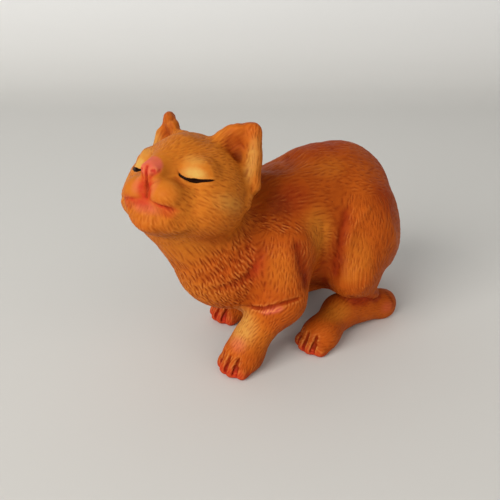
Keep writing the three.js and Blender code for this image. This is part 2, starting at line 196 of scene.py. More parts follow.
class Clay:
    """A dense mesh held as arrays while it is sculpted, in the sculpting frame."""

    def __init__(self, mesh: bpy.types.Mesh) -> None:
        """Reads the mesh.

        Args:
            mesh: a closed mesh in the row frame, in metres.
        """
        self.mesh = mesh
        count = len(mesh.vertices)
        points = np.zeros(count * 3, np.float32)
        mesh.vertices.foreach_get("co", points)
        self.points = points.reshape(-1, 3).astype(np.float64) / MM - ORIGIN
        edges = np.zeros(len(mesh.edges) * 2, np.int32)
        mesh.edges.foreach_get("vertices", edges)
        self.edges = edges.reshape(-1, 2)
        self.degree = np.bincount(self.edges.ravel(), minlength=count).astype(np.float64)
        self.coats = {paint: np.zeros(count) for paint in Paint}

    def store(self) -> None:
        """Writes the points back to the mesh."""
        rows = ((self.points + ORIGIN) * MM).astype(np.float32)
        self.mesh.vertices.foreach_set("co", rows.ravel())
        self.mesh.update()

    def normals(self) -> Array:
        """Gives the direction that each point faces.

        Returns:
            One unit vector for each point.
        """
        self.store()
        normals = np.zeros(len(self.points) * 3, np.float32)
        self.mesh.vertex_normals.foreach_get("vector", normals)
        return normals.reshape(-1, 3).astype(np.float64)

    def average(self, values: Array) -> Array:
        """Gives the mean of each point's neighbours.

        Args:
            values: one number for each point.

        Returns:
            The means.
        """
        a, b = self.edges[:, 0], self.edges[:, 1]
        count = len(self.degree)
        total = np.bincount(a, values[b], count) + np.bincount(b, values[a], count)
        return total / self.degree

    def relaxed(self, steps: int, share: float | Array = 0.6) -> Array:
        """Gives the points smoothed over their neighbours.

        Args:
            steps: the number of passes.
            share: how far each point moves to its neighbours' mean in a pass.

        Returns:
            The smoothed points.
        """
        points = self.points.copy()
        for _ in range(steps):
            for axis in range(3):
                mean = self.average(points[:, axis])
                points[:, axis] += share * (mean - points[:, axis])
        return points

    def spread(self, values: Array, steps: int) -> Array:
        """Gives values blurred over the surface.

        Args:
            values: one number for each point.
            steps: the number of passes.

        Returns:
            The blurred values.
        """
        for _ in range(steps):
            values = 0.4 * values + 0.6 * self.average(values)
        return values

    def coat(self, paint: Paint, amount: Array) -> None:
        """Lays one more thin layer of a paint over what is there."""
        self.coats[paint] = 1 - (1 - self.coats[paint]) * (1 - np.clip(amount, 0, 1))


def nearest_on_path(points: Array, path: Array) -> tuple[Array, Array]:
    """Finds the nearest place on a path.

    Args:
        points: the points to look from.
        path: the path's corners.

    Returns:
        For each point, the offset from the nearest place, and that place's share of the path's length.
    """
    lengths = np.linalg.norm(np.diff(path, axis=0), axis=1)
    starts = np.concatenate([[0], np.cumsum(lengths)])
    best = np.full(len(points), np.inf)
    offset = np.zeros_like(points)
    along = np.zeros(len(points))
    for start, end, begun, length in zip(path[:-1], path[1:], starts, lengths):
        line = end - start
        t = np.clip((points - start) @ line / length**2, 0, 1)
        away = points - start - t[:, None] * line
        distance = np.einsum("ij,ij->i", away, away)
        closer = distance < best
        best = np.where(closer, distance, best)
        offset[closer] = away[closer]
        along = np.where(closer, (begun + t * length) / starts[-1], along)
    return offset, along


@dataclass(frozen=True)
class Line:
    """A groove, or a ridge where its depth is negative, along a path on the surface, and its paint."""

    path: tuple[Point, ...]
    width: float
    depth: float
    place: Place = BODY
    both_sides: bool = False
    taper: float = 0.15
    paint: Paint | None = None
    paint_width: float = 0.0
    paint_share: float = 1.0
    reach: float = 2.5

    def _paths(self) -> list[Array]:
        """Gives the path in the sculpting frame, and its mirror image where there is one.

        Returns:
            One or two paths.
        """
        own = np.array(self.path)
        paths = [own, own * (-1, 1, 1)] if self.both_sides else [own]
        return [self.place.world(path) for path in paths]

    def _shares(self, clay: Clay, normals: Array, width: float) -> Array:
        """Gives how much of the line lies on each point.

        Args:
            clay: the mesh.
            normals: the direction that each point faces.
            width: half the line's width, in millimetres.

        Returns:
            Shares from 0 to 1.
        """
        total = np.zeros(len(clay.points))
        for path in self._paths():
            margin = 3 * width + self.reach
            near = np.all((clay.points > path.min(0) - margin) & (clay.points < path.max(0) + margin), axis=1)
            offset, along = nearest_on_path(clay.points[near], path)
            height = np.einsum("ij,ij->i", offset, normals[near])
            across = np.linalg.norm(offset - height[:, None] * normals[near], axis=1)
            ends = smooth(0, self.taper, along) * smooth(1, 1 - self.taper, along) if self.taper else 1.0
            local_width = width * (0.45 + 0.55 * ends)
            share = np.exp(-((across / local_width) ** 2)) * ends
            share *= smooth(self.reach, self.reach * 0.6, np.abs(height))
            total[near] = np.maximum(total[near], share)
        return total

    def press(self, clay: Clay, normals: Array) -> None:
        """Presses the line into the surface.

        Args:
            clay: the mesh.
            normals: the direction that each point faces.
        """
        if self.depth:
            share = self._shares(clay, normals, self.width)
            clay.points -= (self.depth * share)[:, None] * normals

    def stain(self, clay: Clay, normals: Array) -> None:
        """Paints the line.

        Args:
            clay: the mesh.
            normals: the direction that each point faces.
        """
        if self.paint:
            share = self._shares(clay, normals, self.paint_width or self.width)
            clay.coat(self.paint, self.paint_share * share)


@dataclass(frozen=True)
class Patch:
    """A rounded swelling, or a hollow where its height is negative, and its paint."""

    centre: Point
    radii: Point
    height: float = 0.0
    place: Place = BODY
    both_sides: bool = False
    paint: Paint | None = None
    paint_share: float = 1.0
    core: float = 0.35

    def _shares(self, clay: Clay) -> Array:
        """Gives how much of the patch lies on each point, from 0 to 1.

        Args:
            clay: the mesh.

        Returns:
            One share for each point.
        """
        total = np.zeros(len(clay.points))
        for side in (1, -1) if self.both_sides else (1,):
            centre = np.array(self.centre) * (side, 1, 1)
            away = np.abs(clay.points - self.place.world(centre))
            near = np.flatnonzero(np.all(away < max(self.radii), axis=1))
            local = self.place.local(clay.points[near])
            reach = np.linalg.norm((local - centre) / np.array(self.radii), axis=1)
            total[near] = np.maximum(total[near], smooth(1, self.core, reach))
        return total

    def press(self, clay: Clay, normals: Array) -> None:
        """Raises the patch out of the surface."""
        if self.height:
            clay.points += (self.height * self._shares(clay))[:, None] * normals

    def stain(self, clay: Clay, normals: Array) -> None:
        """Paints the patch."""
        if self.paint:
            clay.coat(self.paint, self.paint_share * self._shares(clay))


def tints(
    place: Place, both_sides: bool, rows: Sequence[tuple[Point, Point, Paint, float, float]]
) -> list[Patch]:
    """Makes patches of paint that don't change the shape.

    Args:
        place: the frame that they are given in.
        both_sides: whether each has a mirror image.
        rows: for each, its centre, radii, paint, share at most, and the part of its radii that is full.

    Returns:
        The patches.
    """
    return [Patch(at, radii, 0.0, place, both_sides, paint, *fade) for at, radii, paint, *fade in rows]


@dataclass(frozen=True)
class Pull(Patch):
    """A place where the clay was drawn out or pushed in along one direction."""

    move: Point = (0.0, 0.0, 0.0)

    def press(self, clay: Clay, normals: Array) -> None:
        """Moves the surface along its direction."""
        move = self.place.world(np.array(self.move)) - np.array(self.place.origin)
        clay.points += self._shares(clay)[:, None] * move


@dataclass(frozen=True)
class Strokes:
    """Short sculpted fur strokes, in staggered rows.

    Their size is the length and spacing that the sculptor's tool left, in millimetres.
    """

    length: float
    pitch: float
    depth: float
    seed: int

    def cut(self, u: Array, phi: Array, ring: "Pelt") -> Array:
        """Gives how deep each point lies in a stroke.

        Args:
            u: the distance along the fur, in millimetres.
            phi: the angle round the form.
            ring: tells how wide the form is at a distance along it.

        Returns:
            Shares from 0 to 1.
        """
        base = np.floor(u / self.length)
        turn = phi / (2 * np.pi)
        best = np.zeros(len(u))
        for column_step in (-1, 0, 1):
            column = base + column_step
            radius = ring.radius_at((column + 0.5) * self.length)
            rows = np.maximum(5, np.round(2 * np.pi * radius / self.pitch))
            x = (turn + hashed(self.seed, column)) * rows
            own_row = np.floor(x)
            for row_step in (-1, 0, 1):
                row = own_row + row_step
                name = np.mod(row, rows)
                a, b, c, d = (hashed(self.seed + k, column, name) for k in (1, 2, 3, 4))
                du = u - (column + 0.5 + 0.9 * (a - 0.5)) * self.length
                dv = (x - row - 0.5 - 0.7 * (b - 0.5)) * self.pitch - 0.5 * (c - 0.5) * du
                half = self.length * (0.36 + 0.3 * d)
                width = self.pitch * (0.17 + 0.12 * c)
                share = np.exp(-((dv / width) ** 2)) * np.clip(1 - (du / half) ** 2, 0, 1)
                best = np.maximum(best, share * (0.55 + 0.45 * b))
        return best


@dataclass(frozen=True)
class Pelt:
    """The lie of the fur over one form: distance along it, angle round it and its width."""

    strokes: tuple[Strokes, ...]

    def lay(self, points: Array) -> tuple[Array, Array]:
        """Gives the distance along the fur and the angle round the form."""
        raise NotImplementedError

    def radius_at(self, u: Array) -> Array:
        """Gives the form's radius at a distance along it."""
        raise NotImplementedError

    def relief(self, points: Array) -> Array:
        """Gives the depth of the fur's grooves, in millimetres.

        Args:
            points: points in the sculpting frame.

        Returns:
            One depth for each point.
        """
        u, phi = self.lay(points)
        total = np.zeros(len(points))
        for strokes in self.strokes:
            total = np.maximum(total, strokes.depth * strokes.cut(u, phi, self))
        return total


@dataclass(frozen=True)
class RoundPelt(Pelt):
    """Fur that runs from one point of a ball to the point across from it."""

    centre: Point = (0.0, 0.0, 0.0)
    pole: Point = (0.0, -1.0, 0.0)
    radius: float = 13.0
    sag: float = 0.0

    def lay(self, points: Array) -> tuple[Array, Array]:
        """Gives the distance from the pole over the ball and the angle round it.

        Args:
            points: points in the sculpting frame.

        Returns:
            Distances in millimetres and angles.
        """
        pole = np.array(Vector(self.pole).normalized())
        up = np.array((0.0, 0.0, 1.0))
        across = np.cross(pole, up)
        across /= np.linalg.norm(across)
        upward = np.cross(across, pole)
        away = points - np.array(self.centre)
        distance = np.linalg.norm(away, axis=1)
        angle = np.arccos(np.clip(away @ pole / distance, -1, 1))
        phi = np.arctan2(away @ across, away @ upward)
        phi = phi - self.sag * angle * np.sin(phi)
        waver = 0.5 * np.sin(away @ np.array((0.31, 0.23, 0.17)))
        waver += 0.4 * np.sin(away @ np.array((-0.19, 0.41, 0.37)))
        return angle * self.radius + 0.8 * waver, phi + 0.05 * waver

    def radius_at(self, u: Array) -> Array:
        """Gives the radius of the ring at a distance from the pole."""
        return self.radius * np.abs(np.sin(u / self.radius)) + 0.3


@dataclass(frozen=True)
class LimbPelt(Pelt):
    """Fur that runs along a limb."""

    path: tuple[Point, ...] = ((0.0, 0.0, 0.0), (0.0, 0.0, 1.0))
    front: Point = (0.0, -1.0, 0.0)
    radius: float = 5.0

    def lay(self, points: Array) -> tuple[Array, Array]:
        """Gives the distance along the limb and the angle round it.

        Args:
            points: points in the sculpting frame.

        Returns:
            Distances in millimetres and angles.
        """
        path = np.array(self.path)
        offset, along = nearest_on_path(points, path)
        u = along * np.linalg.norm(np.diff(path, axis=0), axis=1).sum()
        line = (path[-1] - path[0]) / np.linalg.norm(path[-1] - path[0])
        front = np.array(self.front) - line * np.dot(self.front, line)
        front /= np.linalg.norm(front)
        side = np.cross(line, front)
        u = u + np.where(along <= 0, offset @ self._direction(path[:2]), 0.0)
        u = u + np.where(along >= 1, offset @ self._direction(path[-2:]), 0.0)
        waver = np.sin(points @ np.array((0.5, 0.4, 0.3)))
        return u + 0.4 * waver, np.arctan2(offset @ side, offset @ front) + 0.06 * waver

    @staticmethod
    def _direction(ends: Array) -> Array:
        """Gives the direction from the first of two places to the second."""
        return (ends[1] - ends[0]) / np.linalg.norm(ends[1] - ends[0])

    def radius_at(self, u: Array) -> Array:
        """Gives the limb's radius, which is the same all along."""
        return np.full(np.shape(u), self.radius)


@dataclass(frozen=True)
class Limb:
    """A leg or the tail: its middle line, its radius and how its fur lies."""

    path: tuple[Point, ...]
    radius: float
    pelt: LimbPelt

    def share(self, points: Array) -> Array:
        """Gives how far each point belongs to the limb, from 0 to 1, and less behind the limb's start.

        Args:
            points: points in the sculpting frame.

        Returns:
            One share for each point.
        """
        path = np.array(self.path)
        offset, along = nearest_on_path(points, path)
        distance = np.maximum(np.linalg.norm(offset, axis=1), 1e-6)
        outward = (path[1] - path[0]) / np.linalg.norm(path[1] - path[0])
        behind = np.where(along <= 0, -(offset @ outward) / distance, 0.0)
        return smooth(self.radius + 2.5, self.radius + 0.8, distance) * smooth(0.45, 0.05, behind)


def limb(path: Sequence[Point], radius: float, front: Point, strokes: Strokes) -> Limb:
    """Makes a limb with fur along it.

    Args:
        path: the limb's middle line, from the body outwards.
        radius: the limb's radius.
        front: the side that the angle is measured from.
        strokes: the fur's strokes.

    Returns:
        The limb.
    """
    return Limb(tuple(path), radius, LimbPelt((strokes,), tuple(path), front, radius))


# The kitten's forms, in the sculpting frame
TAIL_PATH = (
    (-0.5, 27, 24), (-2, 34, 17.5), (-6.5, 37.5, 9.5), (-14.5, 37.5, 4.4),
    (-22, 32, 3.4), (-25.6, 22, 3), (-25.6, 10, 2.7), (-23.6, 2, 2.4),
)
LIMBS = (
    limb([(12.3, -17, 18.5), (8.9, -23.6, 8), (8.6, -28, 3)], 6.2, (0, -1, 0), Strokes(1.8, 0.8, 0.16, 50)),
    limb(
        [(-12.5, -9.4, 18), (-13.4, -10, 8), (-13.7, -13.6, 3)], 6.2, (0, -1, 0), Strokes(1.8, 0.8, 0.16, 70)
    ),
    limb([(13.6, 22.5, 4), (11.3, 7, 5.6), (14.2, -3.5, 4)], 6.0, (0, 0, 1), Strokes(1.8, 0.8, 0.11, 100)),
    limb([(-15.6, 29, 4), (-13.3, 13.5, 5.6), (-16.2, 3, 4)], 6.0, (0, 0, 1), Strokes(1.8, 0.8, 0.11, 110)),
    limb([(9.5, -14, 34), (12.3, -17, 18.5)], 8.2, (0, -1, 0), Strokes(1.9, 0.78, 0.18, 40)),
    limb([(-9.5, -14, 34), (-12.5, -9.4, 18)], 8.2, (0, -1, 0), Strokes(1.9, 0.78, 0.18, 60)),
    limb([(11, 12, 38), (15, 7, 20), (15.4, 9, 15)], 9.5, (0, -1, 0), Strokes(2.1, 0.8, 0.17, 80)),
    limb([(-11, 12, 38), (-15, 7, 20), (-15.4, 12, 15)], 9.5, (0, -1, 0), Strokes(2.1, 0.8, 0.17, 90)),
)
# The tail's radius at its root and at its tip
TAIL_RADII = (4.4, 2.7)
TAIL = limb(TAIL_PATH, TAIL_RADII[0], (0, 0, 1), Strokes(2.4, 0.8, 0.14, 120))
HEAD_PELT = RoundPelt(
    (Strokes(1.7, 0.66, 0.14, 10), Strokes(2.2, 0.85, 0.09, 15)),
    tuple(HEAD.world(np.array((0.0, 1.0, 0.0)))),
    tuple(HEAD.world(np.array((0.0, -1.0, 0.08))) - np.array(HEAD.origin)),
    13.0,
)
RUFF_PELT = RoundPelt(
    (Strokes(2.1, 0.72, 0.32, 20), Strokes(1.7, 0.9, 0.22, 25)), (-0.5, -18.0, 27.0), (-0.1, -0.5, 0.85), 15.0
)
TRUNK_PELT = RoundPelt(
    (Strokes(2.2, 0.8, 0.16, 30), Strokes(2.7, 0.9, 0.11, 35)), (0.0, 6.0, 29.0), (0.0, -0.95, 0.3), 18.0
)

EYE = (
    (3.6, -11.9, 3.3), (4.2, -11.7, 2.2), (4.9, -11.6, 1.5), (6.0, -11.3, 1.05), (7.2, -10.8, 0.85),
    (8.4, -10.3, 0.95), (9.9, -9.5, 1.35), (11.3, -8.4, 1.8), (12.4, -7.0, 2.2),
)
EYE_CORE = ((5.6, -11.4, 1.15), (7.2, -10.8, 0.9), (8.6, -10.2, 1.0), (10.3, -9.2, 1.45))
MOUTH = (
    (0.0, -15.3, -4.3), (1.1, -15.4, -4.9), (3.3, -15.7, -5.5), (4.8, -15.4, -5.75), (6.1, -14.6, -5.9),
    (7.2, -13.3, -6.0), (8.0, -12.0, -5.9),
)
EAR_RIM = tuple(tuple(HEAD.world(np.array(p))) for p in ((14.3, 4.2, 0.0), (12.4, 2.8, 16.0)))
FAR_EAR_RIM = tuple(tuple(HEAD.world(np.array(p))) for p in ((-14.3, 4.2, 0.0), (-12.4, 2.8, 16.0)))
EARS = (
    limb(EAR_RIM, 1.6, (0, -1, 0), Strokes(2.1, 0.62, 0.13, 130)),
    limb(FAR_EAR_RIM, 1.6, (0, -1, 0), Strokes(2.1, 0.62, 0.13, 140)),
)

FACE_PATCHES = (
    # The lids, the muzzle and the chin, then the ears, the cheeks and the jaw
    Patch((7.0, -9.6, 3.6), (4.4, 3.4, 2.6), 0.12, HEAD, True),
    Patch((4.2, -14.6, -2.9), (4.4, 3.8, 3.8), 0.85, HEAD),
    Patch((-3.4, -15.0, -2.9), (3.6, 3.2, 3.2), 0.2, HEAD),
    Patch((1.6, -16.1, 1.3), (1.6, 1.5, 1.4), 0.15, HEAD, True),
    Patch((1.3, -15.9, -1.3), (2.4, 2.2, 1.9), 0.35, HEAD, True),
    Patch((0.0, -14.2, -9.5), (5.5, 4.5, 3.6), 0.7, HEAD),
    Patch((0.0, -14.8, -6.6), (5.6, 3.4, 2.2), 0.15, HEAD, False, Paint.ROSE, 0.6, 0.2),
    Patch((9.7, 3.4, 8.6), (2.8, 3.6, 3.6), 0.4, HEAD, True),
    Patch((10.0, 1.8, 8.3), (1.8, 3.0, 2.7), -0.5, HEAD, True, Paint.UMBER, 0.75, 0.1),
    Patch((-9.2, 1.2, 14.8), (2.4, 2.6, 2.2), -0.7, HEAD),
    Patch((-6.4, 0.6, 12.8), (3.2, 3.0, 2.4), -0.7, HEAD),
    Patch((-13.0, 2.8, 16.4), (1.8, 2.4, 1.6), -0.3, HEAD),
    Patch((6.5, -11.5, -8.7), (5.0, 5.0, 4.5), 0.8, HEAD, True),
    Patch((13.4, 3.6, -0.8), (3.2, 3.6, 3.4), 0.9, HEAD, True),
    # Paint on the middle of the face, then on both sides
    *tints(HEAD, False, (
        ((-1.5, -15.2, -5.9), (4.4, 2.6, 1.5), Paint.BLUSH, 0.75, 0.1),
        ((0.0, -2.0, 1.0), (22.0, 22.0, 20.0), Paint.OCHRE, 0.85, 0.6),
        ((0.0, -15.9, 2.2), (2.9, 3.4, 2.6), Paint.ROSE, 0.95, 0.75),
        ((0.0, -15.6, -2.8), (2.9, 2.6, 3.9), Paint.BLUSH, 0.95, 0.45),
    )),
    *tints(HEAD, True, (
        ((7.6, -10.4, 2.4), (4.2, 2.6, 1.9), Paint.CREAM, 0.75, 0.2),
        ((6.6, -10.0, 5.0), (3.6, 3.4, 2.6), Paint.CREAM, 0.3, 0.2),
        ((2.4, -15.9, -2.4), (1.8, 2.0, 3.0), Paint.ROSE, 0.45, 0.2),
        ((5.4, -14.3, -7.0), (2.8, 2.4, 1.5), Paint.BLUSH, 0.5, 0.2),
        ((9.0, 0.8, 10.8), (4.6, 3.4, 5.4), Paint.RUST, 0.75, 0.3),
        ((12.5, -4.0, -2.5), (5.0, 6.0, 3.6), Paint.CREAM, 0.3, 0.2),
        ((13.6, 3.0, 8.5), (2.2, 4.0, 8.0), Paint.CREAM, 0.4, 0.3),
        ((9.0, -2.0, -10.5), (8.0, 8.0, 3.0), Paint.RUST, 0.45, 0.2),
    )),
)
FACE_LINES = (
    # The slits of the eyes, and the lower lid's edge under them
    Line(EYE, 0.28, 0.35, HEAD, True, 0.3, Paint.INK, 0.2, 1.2),
    Line(EYE_CORE, 0.36, 0.35, HEAD, True, 0.5, Paint.INK, 0.38, 1.3),
    Line(tuple((x, y, z - 1.05) for x, y, z in EYE), 0.45, -0.15, HEAD, True, 0.3),
    # The fold down from the eye's inner corner
    Line(
        ((4.3, -12.0, 1.6), (5.4, -12.6, -0.5), (7.4, -12.0, -1.6)),
        1.0, 0.14, HEAD, True, 0.2, Paint.RUST, 1.1, 0.4,
    ),
    # The mouth, near side and far side, and the groove from the nose down to it
    Line(MOUTH, 0.5, 0.45, HEAD, False, 0.45, Paint.BLUSH, 0.9, 0.95),
    Line(tuple((-x, y, z) for x, y, z in MOUTH), 0.5, 0.3, HEAD, False, 0.45, Paint.BLUSH, 0.9, 0.8),
    Line(
        ((0.0, -17.3, 1.8), (0.0, -16.8, -0.6), (0.0, -15.8, -2.2), (0.0, -15.3, -4.5)),
        0.36, 0.4, HEAD, False, 0.0, Paint.BLUSH, 0.7, 1.0,
    ),
    # The wings of the nose, then the nostrils
    Line(
        ((0.3, -16.2, -1.2), (0.9, -16.5, -0.6), (1.5, -16.6, 0.2), (2.2, -15.9, 1.1), (2.8, -15.2, 2.1)),
        0.4, 0.2, HEAD, True, 0.2, Paint.BLUSH, 0.5, 0.7,
    ),
    Line(
        ((0.9, -17.0, 1.1), (1.6, -16.7, 1.1), (2.1, -16.2, 1.4)),
        0.36, 0.2, HEAD, True, 0.3, Paint.BLUSH, 0.5, 0.9,
    ),
)
PULLS = (
    # The near ear's front edge and tip, the far ear's outer edge, the forehead and the far jaw
    Pull((6.6, 0.5, 12.8), (4.2, 3.6, 3.4), place=HEAD, move=(-0.3, 0.0, 0.55)),
    Pull((9.4, 0.2, 15.9), (2.2, 2.5, 2.0), place=HEAD, move=(0.0, 0.0, -0.3)),
    Pull((13.4, 3.2, 10.0), (3.2, 4.0, 7.0), place=HEAD, move=(0.5, 0.0, 0.0)),
    Pull((13.4, 2.9, 15.6), (2.4, 3.0, 2.2), place=HEAD, move=(0.1, 0.0, -0.25)),
    Pull((-12.8, 2.6, 14.6), (3.4, 4.0, 3.5), place=HEAD, move=(1.3, 0.0, -0.1)),
    Pull((-8.0, 1.0, 14.5), (4.0, 5.0, 4.0), place=HEAD, move=(-0.4, 0.0, -0.1)),
    Pull((-1.5, -1.0, 11.3), (6.0, 5.0, 3.5), place=HEAD, move=(0.0, 0.0, 0.5)),
    # The far lid, the far cheek and the far jaw
    Pull((-10.4, -8.8, 3.6), (3.5, 3.5, 3.5), place=HEAD, move=(0.7, 0.6, 0.0)),
    Pull((-11.9, -9.0, -2.0), (3.5, 4.0, 3.5), place=HEAD, move=(0.5, 0.45, 0.0)),
    Pull((-10.8, -8.6, -8.0), (4.0, 4.5, 2.6), place=HEAD, move=(-0.4, -0.35, 0.0)),
    Pull((-7.5, -10.5, -11.0), (5.0, 5.0, 2.6), place=HEAD, move=(0.6, 0.5, 0.3)),
    # The withers, the back and the rump
    Pull((-2.0, -6.8, 49.5), (10.0, 8.0, 6.0), move=(0.0, 0.0, -1.8)),
    Pull((-1.0, 5.0, 50.5), (10.0, 8.0, 6.0), move=(0.0, 0.0, 0.9)),
    Pull((8.0, 19.0, 46.0), (9.0, 9.0, 7.0), move=(0.0, -0.2, -0.6)),
    Pull((16.5, 23.0, 31.0), (6.0, 7.0, 9.0), move=(-0.5, -0.6, 0.0)),
    # The hollow above the heel
    Pull((17.0, 18.5, 13.8), (6.0, 7.5, 4.8), move=(-1.3, -2.4, 0.0)),
    # The flank in front of the thigh
    Pull((14.5, -1.5, 30.0), (3.5, 3.2, 9.0), move=(0.5, 0.0, 0.0)),
)
BODY_PATCHES = (
    # Paint on both sides, then along the middle and on the near side alone
    *tints(BODY, True, (
        ((8.5, -14.5, 41.5), (6.5, 5.0, 5.5), Paint.UMBER, 0.6, 0.1),
        ((9.5, -11.0, 43.0), (7.0, 8.5, 6.0), Paint.RUST, 0.9, 0.2),
        ((15.0, 19.0, 37.0), (8.0, 9.0, 12.0), Paint.RUST, 0.75, 0.2),
        ((14.0, -6.0, 34.0), (5.5, 7.0, 9.5), Paint.OCHRE, 0.9, 0.2),
        ((7.0, 4.0, 47.0), (5.0, 9.0, 4.0), Paint.OCHRE, 0.35, 0.2),
        ((16.0, -20.0, 28.5), (6.0, 6.0, 8.0), Paint.OCHRE, 0.35, 0.2),
        ((12.3, -24.5, 30.0), (3.5, 4.0, 6.5), Paint.BLUSH, 0.3, 0.1),
        ((18.5, 4.5, 26.0), (6.0, 6.5, 9.0), Paint.OCHRE, 0.45, 0.2),
        ((18.7, 1.6, 21.5), (4.0, 4.0, 4.0), Paint.OCHRE, 0.4, 0.2),
        ((14.3, 1.7, 8.5), (5.0, 8.0, 4.0), Paint.OCHRE, 0.8, 0.2),
        ((16.5, 9.5, 10.5), (4.0, 6.5, 3.6), Paint.BLUSH, 0.45, 0.1),
        ((17.6, 20.5, 4.6), (3.0, 3.6, 2.8), Paint.ROSE, 0.3, 0.1),
    )),
    *tints(BODY, False, (
        ((0.0, -14.0, 46.0), (9.0, 8.0, 7.0), Paint.UMBER, 0.5, 0.2),
        # Umber under the belly: painted shade
        ((0.0, 6.0, 12.0), (13.0, 22.0, 8.0), Paint.UMBER, 0.9, 0.3),
        ((0.0, 6.0, 52.0), (8.0, 24.0, 7.0), Paint.RUST, 0.8, 0.2),
        ((0.0, 27.0, 42.0), (18.0, 12.0, 14.0), Paint.RUST, 0.8, 0.2),
        ((-1.0, -36.0, 36.0), (12.0, 10.0, 11.0), Paint.OCHRE, 0.8, 0.3),
        ((0.0, -33.0, 24.0), (13.0, 9.0, 9.0), Paint.OCHRE, 0.6, 0.3),
        ((9.3, -23.5, 11.0), (7.5, 8.0, 10.0), Paint.OCHRE, 0.6, 0.4),
        ((9.0, -27.0, 12.5), (6.0, 6.0, 7.0), Paint.CREAM, 0.45, 0.2),
        ((9.6, -28.6, 8.6), (3.6, 3.0, 3.0), Paint.ROSE, 0.5, 0.1),
        ((15.2, -17.5, 14.0), (4.0, 7.0, 6.0), Paint.RUST, 0.35, 0.1),
        ((-13.4, -11.0, 10.0), (7.0, 7.0, 9.0), Paint.OCHRE, 0.5, 0.4),
        ((9.6, -5.0, 5.0), (4.0, 6.5, 5.5), Paint.RUST, 0.95, 0.3),
    )),
)
BODY_LINES = (
    # The fold across the throat, then the one from the chest up to the neck
    Line(
        (
            (1.0, -37.7, 26.8), (5.0, -36.1, 27.0), (8.1, -33.7, 28.5), (10.0, -30.4, 30.8),
            (10.3, -26.4, 33.8), (9.0, -22.8, 36.5),
        ),
        1.5, 0.3, BODY, True, 0.3, Paint.RUST, 1.6, 0.4,
    ),
    Line(
        (
            (3.3, -36.1, 23.2), (5.3, -35.0, 23.8), (8.3, -32.8, 24.9), (10.3, -30.1, 25.8),
            (11.5, -27.4, 26.7), (12.1, -25.4, 29.0), (12.3, -23.1, 32.3), (11.7, -20.7, 35.2),
        ),
        1.3, 0.5, BODY, True, 0.4, Paint.RUST, 1.6, 0.8,
    ),
    # The crease at the elbow
    Line(
        (
            (8.9, -25.6, 17.9), (11.7, -24.7, 18.2), (13.6, -24.1, 18.6), (16.3, -22.3, 19.9),
            (17.8, -20.5, 20.7), (18.6, -17.9, 21.0), (18.7, -15.3, 20.9),
        ),
        0.5, 0.55, BODY, False, 0.15, Paint.RUST, 0.9, 0.7,
    ),
    # The groove behind the upper arm, and the wash in it
    Line(
        (
            (14.6, -14.8, 36.1), (16.6, -15.4, 33.0), (17.6, -15.2, 29.5), (17.9, -13.8, 25.0),
            (17.6, -12.5, 21.0),
        ),
        1.3, 0.5, BODY, True, 0.2, Paint.RUST, 2.2, 0.9,
    ),
    Line(
        ((14.6, -14.8, 36.1), (17.0, -15.3, 31.5), (17.9, -13.8, 25.0), (17.6, -12.5, 20.0)),
        1.0, 0.0, BODY, True, 0.2, Paint.UMBER, 1.6, 0.45,
    ),
    # The thigh's raised front edge, and the groove before it
    Line(
        ((15.6, 12.9, 38.7), (16.3, 7.6, 36.0), (16.1, 3.9, 32.5), (16.9, 2.6, 28.5), (17.7, 1.6, 23.5)),
        1.2, -0.3, BODY, True, 0.2,
    ),
    Line(
        (
            (13.9, 6.5, 39.5), (14.4, 3.5, 36.8), (15.2, 1.9, 33.0), (15.3, 0.6, 28.9), (15.3, -0.3, 24.6),
            (15.7, -0.4, 20.5), (16.2, -0.4, 17.5),
        ),
        1.3, 0.6, BODY, True, 0.2, Paint.RUST, 2.2, 0.95,
    ),
    # The shadow under the belly
    Line(
        ((11.0, -9.0, 18.0), (11.6, -1.0, 17.2), (12.5, 5.0, 17.5)),
        1.0, 0.0, BODY, True, 0.1, Paint.UMBER, 3.0, 0.95,
    ),
    # The crease under the knee, then the dark line at the heel
    Line(
        ((17.9, 1.0, 16.3), (18.2, 5.5, 13.3), (16.3, 13.0, 9.5), (15.2, 19.7, 7.8)),
        0.7, 0.4, BODY, False, 0.2, Paint.RUST, 1.1, 0.8,
    ),
    Line(
        ((13.9, 22.6, 8.2), (16.3, 22.4, 7.3), (17.8, 22.8, 5.1), (17.9, 21.5, 3.3)),
        0.5, 0.0, BODY, False, 0.2, Paint.UMBER, 0.5, 0.6,
    ),
    # The worn scratch under the elbow's crease
    Line(
        ((12.6, -25.1, 17.4), (14.5, -24.0, 17.9), (16.6, -22.4, 18.8), (18.2, -20.2, 19.7)),
        0.45, -0.15, BODY, False, 0.3, Paint.ROSE, 0.6, 0.9,
    ),
)
TOE_PITCH = 2.7
# Where each paw's toes start, and how high their red tips reach
PAWS = ((9.2, -26.0, 4.8), (-13.7, -11.6, 5.6), (14.2, -3.5, 3.4), (-16.2, 3.0, 3.4))


def toe_lines() -> list[Line]:
    """Gives the grooves between the toes of every paw, with their paint.

    Returns:
        The grooves.
    """
    lines = []
    for x, y, _ in PAWS:
        for step, start in ((-1, -6.0), (0, -6.4), (1, -6.0)):
            at, root = x + step * TOE_PITCH, x + 0.8 * step * TOE_PITCH
            front = y + start
            tip = ((at, front, 0.3), (at, front - 0.2, 2.0))
            path = (*tip, (at, front + 1.0, 4.2), (root, front + 2.8, 6.0))
            lines.append(Line(path, 0.42, 0.85, BODY, False, 0.2, Paint.RUST, 0.75, 1.0))
    return lines


